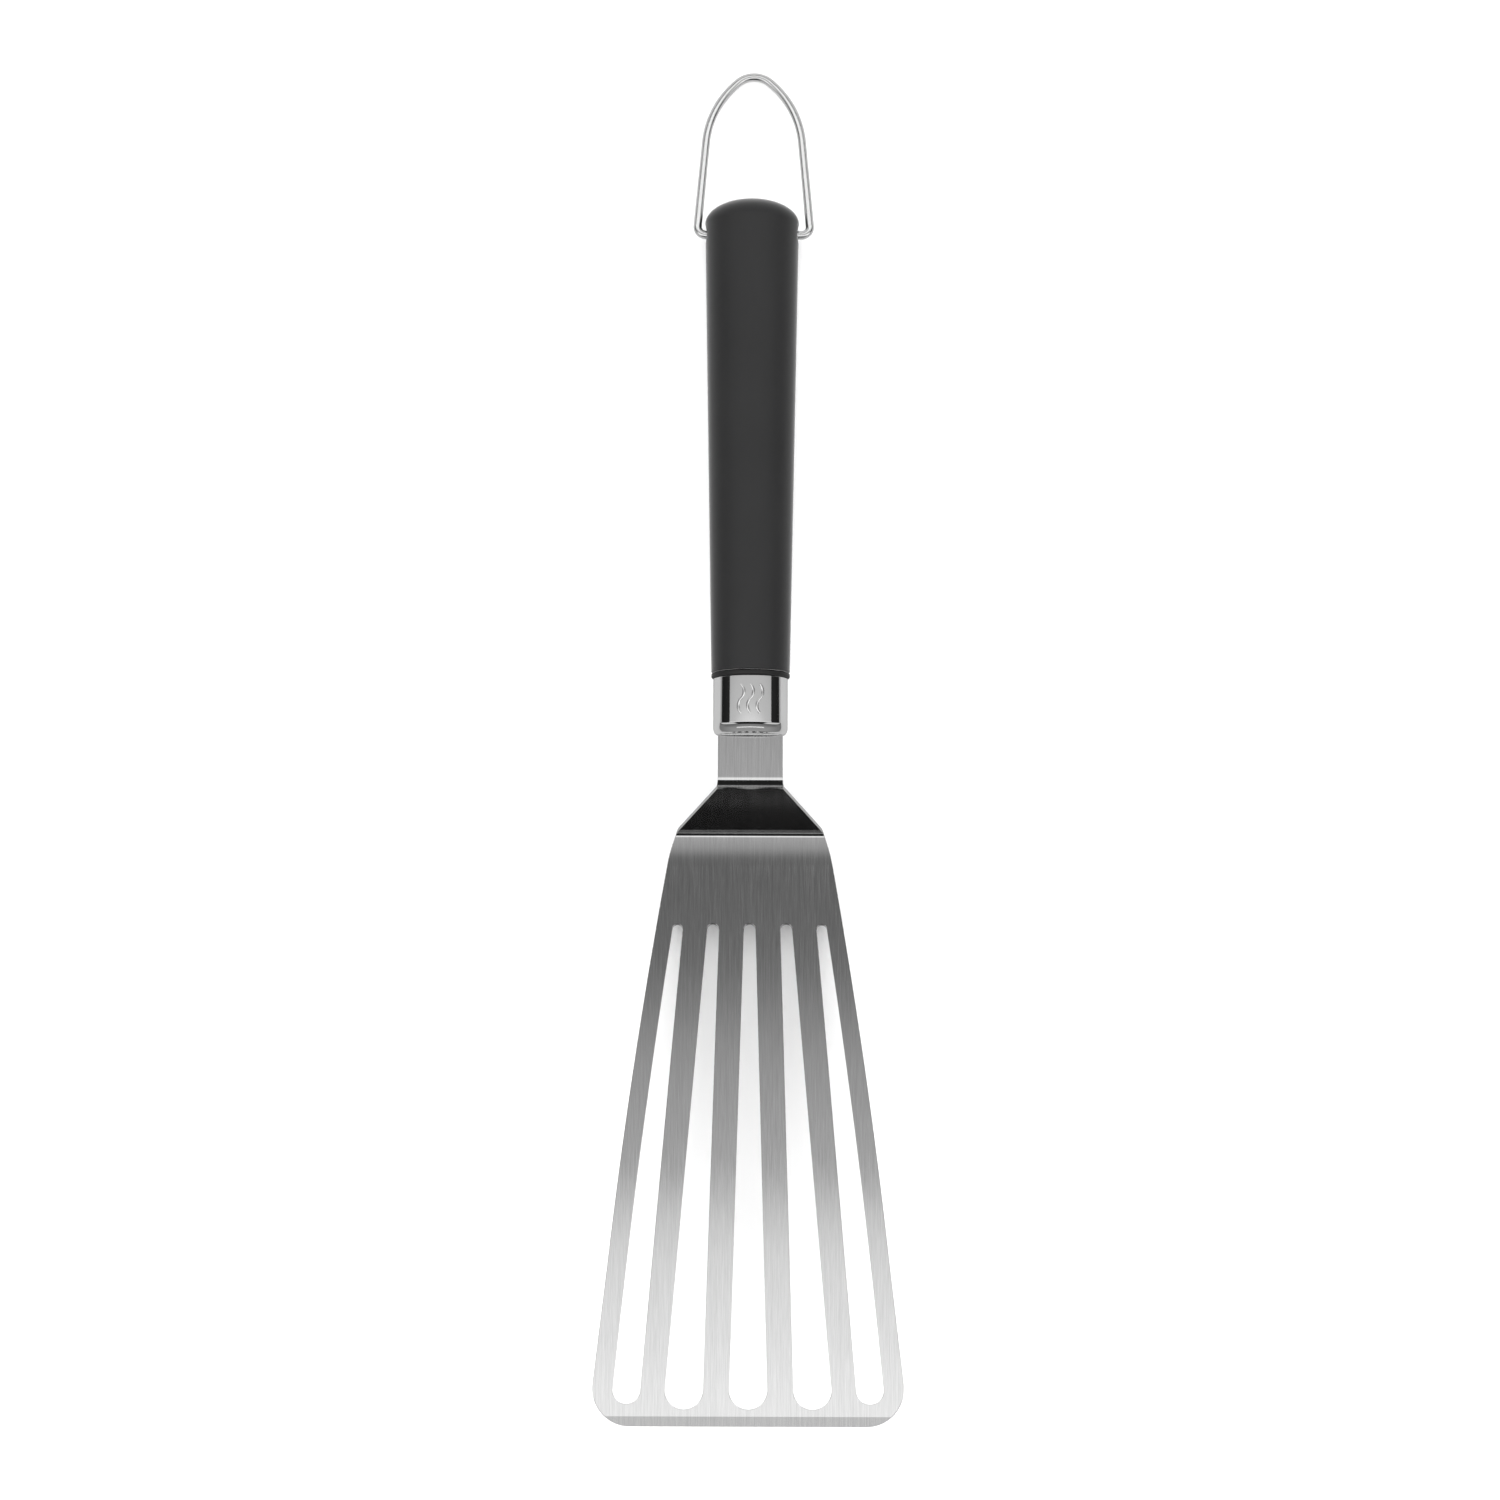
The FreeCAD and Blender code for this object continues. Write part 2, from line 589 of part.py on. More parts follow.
def build():
    """All pieces in the row frame, by node name, and the places that the record needs."""
    grip = make_grip()
    heel_centre = Vector(0, 0, HEEL_RADIUS + HALF_SHEET)
    heel_low = heel_centre - normal(HEEL_PITCH) * HEEL_RADIUS
    face_low = heel_centre - normal(FACE_PITCH) * HEEL_RADIUS
    # the face is as tall as the handle's own depth asks for
    bend_rise = NECK_RADIUS * (normal(HANDLE_PITCH).z - normal(FACE_PITCH).z)
    face_length = (neck_height(grip) - bend_rise - face_low.z) / along(FACE_PITCH).z
    face_high = face_low + along(FACE_PITCH) * face_length
    neck_centre = face_high - normal(FACE_PITCH) * NECK_RADIUS
    neck = neck_centre + normal(HANDLE_PITCH) * NECK_RADIUS
    gentle_centre = heel_low + normal(HEEL_PITCH) * GENTLE_RADIUS
    blade_start = gentle_centre - normal(BLADE_PITCH) * GENTLE_RADIUS
    handle = frame(neck, HANDLE_PITCH)
    print("step face length", round(face_length, 2), "neck height", round(neck.z, 2))

    # slotted blade, gentle bend, heel bend, step face, neck bend, neck and tang: one sheet
    face = [(-FACE_HALF_LOW, 0), (FACE_HALF_LOW, 0), (FACE_HALF_HIGH, face_length)]
    face += [(-FACE_HALF_HIGH, face_length)]
    gentle_mid = (HEEL_HALF + BLADE_HALF_START) / 2 + GENTLE_FULLNESS
    heel_mid = (FACE_HALF_LOW + HEEL_HALF) / 2 + HEEL_FULLNESS
    neck_mid = NECK_HALF + NECK_FULLNESS
    sheet = placed(tang_plate(), handle)
    stretches = [
        sheet_bend(neck_centre, NECK_RADIUS, (FACE_PITCH, HANDLE_PITCH),
                   (FACE_HALF_HIGH, neck_mid, NECK_HALF), -1, 8),
        placed(slab(polygon(face), -HALF_SHEET, HALF_SHEET), frame(face_low, FACE_PITCH)),
        sheet_bend(heel_centre, HEEL_RADIUS, (HEEL_PITCH, FACE_PITCH),
                   (HEEL_HALF, heel_mid, FACE_HALF_LOW), 1, 8),
        sheet_bend(gentle_centre, GENTLE_RADIUS, (BLADE_PITCH, HEEL_PITCH),
                   (BLADE_HALF_START, gentle_mid, HEEL_HALF), 1, 6),
        placed(flat_blade(), frame(blade_start, BLADE_PITCH)),
    ]
    for stretch in stretches:
        sheet = sheet.fuse(stretch)

    core = make_core()
    pieces = {
        "blade": sheet.removeSplitter(),
        "ferrule": placed(make_ferrule(), handle),
        "front_collar": placed(make_front_collar(), handle),
        "grip": placed(grip, handle),
        "core_upper": placed(make_core_half(core, 1), handle),
        "core_lower": placed(make_core_half(core, -1), handle),
    }
    for name, place in RIVET_PLACES.items():
        pieces["tang_rivet_" + name] = placed(make_rivet(place), handle)

    # the loop hangs down until the apex of the wire rests on the table
    pivot = handle.multVec(Vector(0, LOOP_PIVOT, 0))
    droop = -math.degrees(math.asin((pivot.z - WIRE_RADIUS) / LOOP_LENGTH))
    pieces["hang_loop"] = placed(make_hang_loop(), frame(pivot, droop))

    # centre the whole object over the origin
    whole = Part.makeCompound(list(pieces.values())).optimalBoundingBox(False)
    shift = Vector(-whole.Center.x, -whole.Center.y, -whole.ZMin)
    for piece in pieces.values():
        piece.translate(shift)
    print("size", [round(value, 2) for value in (whole.XLength, whole.YLength, whole.ZLength)])
    print("loop pivot", pivot + shift, "loop droop", round(droop, 2))
    print("blade frame", blade_start + shift, "pitch", BLADE_PITCH)
    print("handle frame", neck + shift, "pitch", HANDLE_PITCH)
    return pieces


os.makedirs("parts", exist_ok=True)
for node, shape in build().items():
    solids = shape.Solids
    print(node, "solids", len(solids), "valid", shape.isValid(), "volume", round(shape.Volume, 1))
    shape.exportStep("parts/" + node + ".step")
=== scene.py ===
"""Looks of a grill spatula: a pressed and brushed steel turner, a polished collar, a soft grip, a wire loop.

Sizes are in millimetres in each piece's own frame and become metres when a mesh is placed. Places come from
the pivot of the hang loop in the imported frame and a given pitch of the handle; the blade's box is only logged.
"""
from __future__ import annotations

import json
import logging
import math
from dataclasses import dataclass
from enum import Enum

import bmesh
import bpy
from mathutils import Matrix, Vector

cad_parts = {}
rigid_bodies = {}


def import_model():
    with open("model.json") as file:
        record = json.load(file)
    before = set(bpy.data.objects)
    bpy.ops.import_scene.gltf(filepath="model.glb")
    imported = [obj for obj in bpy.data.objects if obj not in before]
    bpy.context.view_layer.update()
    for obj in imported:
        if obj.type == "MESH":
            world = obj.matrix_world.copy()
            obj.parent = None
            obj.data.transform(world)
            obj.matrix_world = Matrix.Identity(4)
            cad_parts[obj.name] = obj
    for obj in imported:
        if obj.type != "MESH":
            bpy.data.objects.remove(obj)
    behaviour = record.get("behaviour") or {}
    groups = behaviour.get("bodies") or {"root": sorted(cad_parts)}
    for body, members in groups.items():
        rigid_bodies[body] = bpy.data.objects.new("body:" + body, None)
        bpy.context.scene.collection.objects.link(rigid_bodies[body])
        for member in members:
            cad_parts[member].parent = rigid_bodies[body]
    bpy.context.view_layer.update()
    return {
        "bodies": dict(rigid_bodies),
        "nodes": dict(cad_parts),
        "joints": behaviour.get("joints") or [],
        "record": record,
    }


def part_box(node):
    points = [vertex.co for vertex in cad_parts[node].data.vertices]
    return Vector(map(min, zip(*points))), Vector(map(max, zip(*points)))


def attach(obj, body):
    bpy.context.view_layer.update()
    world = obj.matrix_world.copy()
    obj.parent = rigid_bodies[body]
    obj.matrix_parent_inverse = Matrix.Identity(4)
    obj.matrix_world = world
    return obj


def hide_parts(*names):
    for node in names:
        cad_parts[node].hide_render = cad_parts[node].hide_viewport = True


LOG = logging.getLogger("spatula")
MM = 0.001
BROAD_FACES_FIRST = 100    # weight that makes broad faces settle the shading
ONE_VERTEX = 0.002         # millimetres within which vertices become one
ON_THE_CUT = 1e-4          # millimetres within which a vertex lies on a cut
BRIGHTEST = 2.0            # brightness that the white of a ramp stands for
Point = tuple[float, float]
Colour = tuple[float, float, float]


# ---------------------------------------------------------------- node trees
class Sock:
    """One output socket of a node, with the arithmetic that shader and geometry trees need."""

    def __init__(self, graph: Graph, socket: bpy.types.NodeSocket) -> None:
        """Wraps a socket of a graph's tree."""
        self.graph = graph
        self.socket = socket

    def _maths(self, operation: str, first: Sock | float, second: Sock | float) -> Sock:
        """Adds one Math node."""
        return self.graph.node("ShaderNodeMath", {"operation": operation}, {0: first, 1: second})

    def __add__(self, other: Sock | float) -> Sock:
        """Sum."""
        return self._maths("ADD", self, other)

    __radd__ = __add__

    def __sub__(self, other: Sock | float) -> Sock:
        """Difference."""
        return self._maths("SUBTRACT", self, other)

    def __rsub__(self, other: Sock | float) -> Sock:
        """Difference, number first."""
        return self._maths("SUBTRACT", other, self)

    def __mul__(self, other: Sock | float) -> Sock:
        """Product."""
        return self._maths("MULTIPLY", self, other)

    __rmul__ = __mul__

    def __truediv__(self, other: Sock | float) -> Sock:
        """Quotient."""
        return self._maths("DIVIDE", self, other)

    def root(self) -> Sock:
        """Square root."""
        return self._maths("SQRT", self, 0.0)

    def clamp(self) -> Sock:
        """The value held between 0 and 1."""
        return self.graph.node("ShaderNodeClamp", {}, {"Value": self})


class Graph:
    """Builds a node tree; every node comes from the one node method."""

    def __init__(self, tree: bpy.types.NodeTree) -> None:
        """Keeps the tree that nodes are added to."""
        self.tree = tree

    def node(self, kind: str, settings: dict | None = None, inputs: dict | None = None,
             output: int | str = 0) -> Sock | None:
        """Adds a node.

        Args:
            kind: the node's type name.
            settings: attributes set first; "stops" holds a colour ramp's (place, colour) pairs.
            inputs: values or Socks by socket name or number.
            output: the output socket to hand back.

        Returns:
            The chosen output, or None for a node that has none.
        """
        made = self.tree.nodes.new(kind)
        for name, value in (settings or {}).items():
            if name == "stops":
                self._set_stops(made.color_ramp, value)
            else:
                setattr(made, name, value)
        for name, value in (inputs or {}).items():
            if isinstance(value, Sock):
                self.tree.links.new(value.socket, made.inputs[name])
            else:
                made.inputs[name].default_value = value
        return Sock(self, made.outputs[output]) if len(made.outputs) else None

    @staticmethod
    def _set_stops(ramp: bpy.types.ColorRamp, stops: list[tuple[float, Colour]]) -> None:
        """Gives a colour ramp its stops."""
        while len(ramp.elements) < len(stops):
            ramp.elements.new(1.0)
        for element, (place, colour) in zip(ramp.elements, stops):
            element.position = place
            element.color = (*colour, 1.0)

    def stretched(self, source: Sock, scale: tuple[float, float, float]) -> Sock:
        """A vector scaled along its three axes."""
        return self.node("ShaderNodeVectorMath", {"operation": "MULTIPLY"}, {0: source, 1: scale})

    def noise(self, place: Sock, scale: float, detail: float = 2.0, roughness: float = 0.5) -> Sock:
        """Fractal noise between 0 and 1."""
        inputs = {"Vector": place, "Scale": scale, "Detail": detail, "Roughness": roughness}
        return self.node("ShaderNodeTexNoise", {}, inputs, "Fac")

    def bump(self, height: Sock, strength: float, depth_mm: float, under: Sock | None = None) -> Sock:
        """Normal bent by a height, over another normal where one is given."""
        inputs = {"Height": height, "Strength": strength, "Distance": depth_mm * MM}
        if under is not None:
            inputs["Normal"] = under
        return self.node("ShaderNodeBump", {}, inputs, "Normal")

    def tint(self, share: Sock, low: Colour, high: Colour) -> Sock:
        """Colour between two colours."""
        return self.node("ShaderNodeMix", {"data_type": "RGBA"}, {0: share, 6: (*low, 1.0), 7: (*high, 1.0)}, 2)


def shader(name: str) -> tuple[bpy.types.Material, Graph, Sock]:
    """A new material, the graph of its emptied tree, and its object coordinates."""
    material = bpy.data.materials.new(name)
    material.use_nodes = True
    material.node_tree.nodes.clear()
    graph = Graph(material.node_tree)
    return material, graph, graph.node("ShaderNodeTexCoord", {}, {}, "Object")


def close_shader(graph: Graph, sockets: dict) -> None:
    """Ends a material's tree with one Principled BSDF that has these sockets."""
    surface = graph.node("ShaderNodeBsdfPrincipled", {}, sockets)
    graph.node("ShaderNodeOutputMaterial", {}, {"Surface": surface})


# ---------------------------------------------------------------- finishes
@dataclass(frozen=True)
class BrushedSheet:
    """Stainless sheet brushed lengthways; the grain follows the sheet round its bends."""

    colour: Colour = (0.53, 0.53, 0.53)
    worn_colour: Colour = (0.67, 0.67, 0.67)
    roughness: float = 0.10
    grain_mm: tuple[float, float] = (0.26, 9.0)
    streak_mm: tuple[float, float] = (0.9, 120.0)
    smudge_mm: float = 38.0

    def material(self) -> bpy.types.Material:
        """Builds the finish on object coordinates; the sheet bends about X alone, so its grain keeps to one X."""
        made, graph, place = shader("brushed_sheet")
        grain = graph.noise(self.drawn_out(graph, place, self.grain_mm), 1.0, 3.0, 0.6)
        streak = graph.noise(self.drawn_out(graph, place, self.streak_mm), 1.0, 4.0, 0.7)
        smudge = graph.noise(place, 1 / (self.smudge_mm * MM), 3.0, 0.55)
        lines = ((streak - 0.5) * 0.6 + (grain - 0.5) * 1.5 + 0.5).clamp()
        colour = graph.tint(lines, self.colour, self.worn_colour)
        roughness = (grain - 0.5) * 0.14 + (streak - 0.5) * 0.05 + (smudge - 0.5) * 0.06 + self.roughness
        relief = graph.bump(grain, 0.5, 0.02)
        relief = graph.bump(streak, 0.15, 0.03, relief)
        close_shader(graph, {"Base Color": colour, "Roughness": roughness, "Normal": relief, "Metallic": 1.0})
        return made

    @staticmethod
    def drawn_out(graph: Graph, place: Sock, size_mm: tuple[float, float]) -> Sock:
        """Object coordinates counted in lines this wide and this long."""
        across, down = (1 / (size * MM) for size in size_mm)
        return graph.stretched(place, (across, down, down))


@dataclass(frozen=True)
class PolishedPlate:
    """Bright plated metal with faint wiping marks and a few fine scratches."""

    colour: Colour = (0.78, 0.78, 0.78)
    wiped_colour: Colour = (0.85, 0.85, 0.85)
    roughness: float = 0.06
    wipes_per_metre: float = 90.0
    scratches_per_metre: tuple[float, float, float] = (7000.0, 500.0, 3000.0)
    prints_per_metre: float = 420.0

    def material(self) -> bpy.types.Material:
        """Builds the finish on object coordinates."""
        made, graph, place = shader("polished_plate")
        wipe = graph.noise(place, self.wipes_per_metre, 3.0, 0.6)
        scratch = graph.noise(graph.stretched(place, self.scratches_per_metre), 1.0, 2.0, 0.5)
        prints = graph.noise(place, self.prints_per_metre, 4.0, 0.7)
        roughness = (wipe - 0.5) * 0.05 + (prints - 0.5) * 0.04 + self.roughness
        colour = graph.tint(wipe, self.colour, self.wiped_colour)
        relief = graph.bump(scratch, 0.05, 0.004)
        close_shader(graph, {"Base Color": colour, "Roughness": roughness, "Normal": relief, "Metallic": 1.0})
        return made


@dataclass(frozen=True)
class DrawnWire:
    """Bright drawn wire: fine die lines along it and a soft satin sheen."""

    colour: Colour = (0.84, 0.84, 0.84)
    bright_colour: Colour = (0.91, 0.91, 0.91)
    roughness: float = 0.24
    lines_per_metre: tuple[float, float, float] = (4200.0, 260.0, 4200.0)
    patches_per_metre: float = 130.0

    def material(self) -> bpy.types.Material:
        """Builds the finish on object coordinates."""
        made, graph, place = shader("drawn_wire")
        lines = graph.noise(graph.stretched(place, self.lines_per_metre), 1.0, 3.0, 0.6)
        patches = graph.noise(place, self.patches_per_metre, 3.0, 0.6)
        roughness = (lines - 0.5) * 0.05 + (patches - 0.5) * 0.06 + self.roughness
        colour = graph.tint(patches, self.colour, self.bright_colour)
        relief = graph.bump(lines, 0.05, 0.003)
        close_shader(graph, {"Base Color": colour, "Roughness": roughness, "Normal": relief, "Metallic": 1.0})
        return made


@dataclass(frozen=True)
class SoftTouch:
    """Matt black soft-touch skin with a fine leathery grain and faint handling marks."""

    colour: Colour = (0.006, 0.006, 0.0063)
    worn_colour: Colour = (0.013, 0.013, 0.0134)
    roughness: float = 0.47
    grain_mm: float = 0.28
    handling_stretch: tuple[float, float, float] = (1.0, 0.45, 1.0)
    handling_per_metre: float = 70.0
    index: float = 1.45
    sheen: Point = (0.45, 0.35)

    def material(self) -> bpy.types.Material:
        """Builds the finish on object coordinates."""
        made, graph, place = shader("soft_touch")
        grain = graph.noise(place, 1 / (self.grain_mm * MM), 3.0, 0.65)
        handling = graph.noise(graph.stretched(place, self.handling_stretch), self.handling_per_metre, 4.0, 0.6)
        colour = graph.tint((handling * 0.6 + grain * 0.4).clamp(), self.colour, self.worn_colour)
        roughness = (handling - 0.5) * 0.10 + (grain - 0.5) * 0.12 + self.roughness
        relief = graph.bump(grain, 0.5, 0.035)
        sockets = {"Base Color": colour, "Roughness": roughness, "Normal": relief}
        weight, spread = self.sheen
        close_shader(graph, sockets | {"IOR": self.index, "Sheen Weight": weight, "Sheen Roughness": spread})
        return made


@dataclass(frozen=True)
class MouldedNylon:
    """Rigid moulded nylon with a spark-eroded texture."""

    colour: Colour = (0.006, 0.006, 0.006)
    flow_colour: Colour = (0.010, 0.010, 0.010)
    roughness: float = 0.42
    texture_per_metre: float = 2600.0
    flow_per_metre: float = 60.0
    index: float = 1.4

    def material(self) -> bpy.types.Material:
        """Builds the finish on object coordinates."""
        made, graph, place = shader("moulded_nylon")
        texture = graph.noise(place, self.texture_per_metre, 3.0, 0.6)
        flow = graph.noise(place, self.flow_per_metre, 2.0, 0.5)
        colour = graph.tint(flow, self.colour, self.flow_colour)
        roughness = (texture - 0.5) * 0.15 + self.roughness
        relief = graph.bump(texture, 0.25, 0.02)
        close_shader(graph, {"Base Color": colour, "Roughness": roughness, "Normal": relief, "IOR": self.index})
        return made


@dataclass(frozen=True)
class RivetSteel:
    """Plain headed steel with tumbling marks."""

    colour: Colour = (0.50, 0.50, 0.49)
    dent_colour: Colour = (0.60, 0.60, 0.59)
    roughness: float = 0.35
    dents_per_metre: float = 900.0

    def material(self) -> bpy.types.Material:
        """Builds the finish on object coordinates."""
        made, graph, place = shader("rivet_steel")
        dents = graph.noise(place, self.dents_per_metre, 3.0, 0.6)
        roughness = (dents - 0.5) * 0.3 + self.roughness
        colour = graph.tint(dents, self.colour, self.dent_colour)
        relief = graph.bump(dents, 0.3, 0.03)
        close_shader(graph, {"Base Color": colour, "Roughness": roughness, "Normal": relief, "Metallic": 1.0})
        return made


@dataclass(frozen=True)
class StudioPaper:
    """Pale matt studio surface."""

    colour: Colour = (0.90, 0.90, 0.90)
    mottle: float = 0.01

    def material(self) -> bpy.types.Material:
        """Builds the finish on object coordinates."""
        made, graph, place = shader("studio_paper")
        cloud = graph.noise(place, 3.0, 3.0, 0.5)
        colour = graph.tint(cloud, self.colour, tuple(value + self.mottle for value in self.colour))
        close_shader(graph, {"Base Color": colour, "Roughness": 0.9})
        return made


# ---------------------------------------------------------------- mesh helpers
@dataclass(frozen=True)
class Bearing:
    """A place in the Y-Z plane and the pitch, in degrees, of what starts there. Millimetres."""

    y: float
    z: float
    pitch: float

    def walk(self, length: float, turn: float) -> Bearing:
        """The bearing after a run that turns evenly by this many degrees."""
        start, end = math.radians(self.pitch), math.radians(self.pitch + turn)
        if abs(turn) < 1e-9:
            return Bearing(self.y + length * math.cos(start), self.z + length * math.sin(start), self.pitch)
        bend = (end - start) / length
        y = self.y + (math.sin(end) - math.sin(start)) / bend
        z = self.z - (math.cos(end) - math.cos(start)) / bend
        return Bearing(y, z, self.pitch + turn)

    def point(self, x: float, run: float, rise: float) -> Vector:
        """A point given across, along the pitch and off it, in millimetres of the row frame."""
        sine, cosine = math.sin(math.radians(self.pitch)), math.cos(math.radians(self.pitch))
        return Vector((x, self.y + run * cosine - rise * sine, self.z + run * sine + rise * cosine))

    def matrix(self) -> Matrix:
        """Turns millimetres in this frame into metres in the row frame."""
        turn = Matrix.Rotation(math.radians(self.pitch), 4, "X")
        return Matrix.Scale(MM, 4) @ Matrix.Translation((0, self.y, self.z)) @ turn


@dataclass(frozen=True)
class Corner:
    """A corner of a profile, rounded by a radius."""

    x: float
    y: float
    radius: float = 0.0


def rounded(profile: list[Corner], steps: int = 6) -> list[Point]:
    """An open line through corners with each one rounded by an arc.

    Args:
        profile: the line's corners; the first and last are kept sharp.
        steps: pieces in each arc.

    Returns:
        The points in order.
    """
    points: list[Point] = [(profile[0].x, profile[0].y)]
    for before, corner, after in zip(profile, profile[1:], profile[2:]):
        here = Vector((corner.x, corner.y))
        back = (Vector((before.x, before.y)) - here).normalized()
        on = (Vector((after.x, after.y)) - here).normalized()
        if corner.radius <= 0:
            points.append((here.x, here.y))
            continue
        half = back.angle(on) / 2
        reach = corner.radius / math.tan(half)
        hub = here + (back + on).normalized() * (corner.radius / math.sin(half))
        start, end = here + back * reach - hub, here + on * reach - hub
        sweep = math.atan2(start.x * end.y - start.y * end.x, start.dot(end))
        for step in range(steps + 1):
            spoke = Matrix.Rotation(sweep * step / steps, 2) @ start
            points.append((hub.x + spoke.x, hub.y + spoke.y))
    points.append((profile[-1].x, profile[-1].y))
    return points


def swing(hub: Point, radius: float, start: float, end: float, steps: int) -> list[Point]:
    """Points on an arc between two angles in degrees."""
    turns = [math.radians(start + (end - start) * step / steps) for step in range(steps + 1)]
    return [(hub[0] + radius * math.cos(turn), hub[1] + radius * math.sin(turn)) for turn in turns]


@dataclass(frozen=True)
class Ring:
    """An oval section: half width, half depth and its place along the axis. A zero width is a pole."""

    half: float
    depth: float
    run: float


def ring_mesh(name: str, rings: list[Ring], segments: int) -> bpy.types.Mesh:
    """A shell through oval sections.

    Args:
        name: the mesh's name.
        rings: the sections in order; with no pole at the ends the last one joins the first.
        segments: vertices round a section.

    Returns:
        The mesh, in millimetres of the handle frame, faces outwards.
    """
    shell = bmesh.new()
    loops = []
    for ring in rings:
        turns = [2 * math.pi * number / segments for number in range(segments if ring.half > 1e-6 else 1)]
        spots = [(ring.half * math.cos(turn), ring.run, ring.depth * math.sin(turn)) for turn in turns]
        loops.append([shell.verts.new(spot) for spot in spots])
    pairs = list(zip(loops, loops[1:]))
    if len(loops[0]) > 1 and len(loops[-1]) > 1:
        pairs.append((loops[-1], loops[0]))
    for first, second in pairs:
        for number in range(segments):
            after = (number + 1) % segments
            quad = [first[number % len(first)], first[after % len(first)]]
            quad += [second[after % len(second)], second[number % len(second)]]
            distinct = list(dict.fromkeys(quad))
            if len(distinct) > 2:
                shell.faces.new(distinct)
    bmesh.ops.recalc_face_normals(shell, faces=shell.faces)
    mesh = bpy.data.meshes.new(name)
    shell.to_mesh(mesh)
    shell.free()
    return mesh


def oval_mesh(name: str, profile: list[Point], flatness: float, segments: int) -> bpy.types.Mesh:
    """A shell of sections that share one flatness, from (half width, place along the axis) points."""
    return ring_mesh(name, [Ring(half, half * flatness, run) for half, run in profile], segments)


def place(mesh: bpy.types.Mesh, name: str, matrix: Matrix, material: bpy.types.Material) -> bpy.types.Object:
    """Puts a mesh in the row frame as a smooth-shaded object at the origin with one material."""
    mesh.transform(matrix)
    mesh.materials.clear()
    mesh.materials.append(material)
    mesh.shade_smooth()
    made = bpy.data.objects.new(name, mesh)
    bpy.context.scene.collection.objects.link(made)
    return made


def even_normals(piece: bpy.types.Object) -> None:
    """Keeps broad faces flat beside their rounded edges."""
    weigh = piece.modifiers.new("even_normals", "WEIGHTED_NORMAL")
    weigh.mode = "FACE_AREA"
    weigh.weight = BROAD_FACES_FIRST
    weigh.keep_sharp = True


def frozen(host: bpy.types.Object) -> bpy.types.Mesh:
    """The evaluated mesh of an object, which is then removed."""
    graph = bpy.context.evaluated_depsgraph_get()
    graph.update()
    mesh = bpy.data.meshes.new_from_object(host.evaluated_get(graph))
    bpy.data.objects.remove(host)
    return mesh


def bare_object(name: str, vertices: list[Vector], edges: list[tuple[int, int]]) -> bpy.types.Object:
    """An object of loose edges in the scene, for a geometry tree to work on."""
    mesh = bpy.data.meshes.new(name)
    mesh.from_pydata(vertices, edges, [])
    made = bpy.data.objects.new(name, mesh)
    bpy.context.scene.collection.objects.link(made)
    return made


def polyline(name: str, points: list[Point]) -> bpy.types.Object:
    """An open line of edges in the X-Y plane."""
    edges = [(number, number + 1) for number in range(len(points) - 1)]
    return bare_object(name, [Vector((x, y, 0)) for x, y in points], edges)


def geometry_tree(name: str, inputs: dict[str, float]) -> tuple[Graph, dict[str, Sock], bpy.types.NodeTree]:
    """An empty geometry tree with named number inputs.

    Args:
        name: the tree's name.
        inputs: each number input's name and default.

    Returns:
        The graph, its group inputs by name with "Geometry" among them, and the tree.
    """
    tree = bpy.data.node_groups.new(name, "GeometryNodeTree")
    tree.interface.new_socket("Geometry", in_out="INPUT", socket_type="NodeSocketGeometry")
    for label, default in inputs.items():
        kind = "NodeSocketInt" if isinstance(default, int) else "NodeSocketFloat"
        tree.interface.new_socket(label, in_out="INPUT", socket_type=kind).default_value = default
    tree.interface.new_socket("Geometry", in_out="OUTPUT", socket_type="NodeSocketGeometry")
    graph = Graph(tree)
    group = graph.node("NodeGroupInput").socket.node
    return graph, {socket.name: Sock(graph, socket) for socket in group.outputs if socket.name}, tree


def run_tree(host: bpy.types.Object, tree: bpy.types.NodeTree, values: dict[str, float]) -> bpy.types.Mesh:
    """Runs a geometry tree on an object with named values, and keeps only its mesh."""
    modifier = host.modifiers.new(tree.name, "NODES")
    modifier.node_group = tree
    for item in tree.interface.items_tree:
        if item.in_out == "INPUT" and item.name in values:
            modifier[item.identifier] = values[item.name]
    return frozen(host)


# ---------------------------------------------------------------- the pressed sheet
class Stretch(Enum):
    """The stretches of the sheet, in order from the tip to the tang's end."""

    BLADE = "blade"
    GENTLE = "gentle bend"
    HEEL = "heel bend"
    FACE = "step face"
    NECK_BEND = "neck bend"
    NECK = "neck and tang"


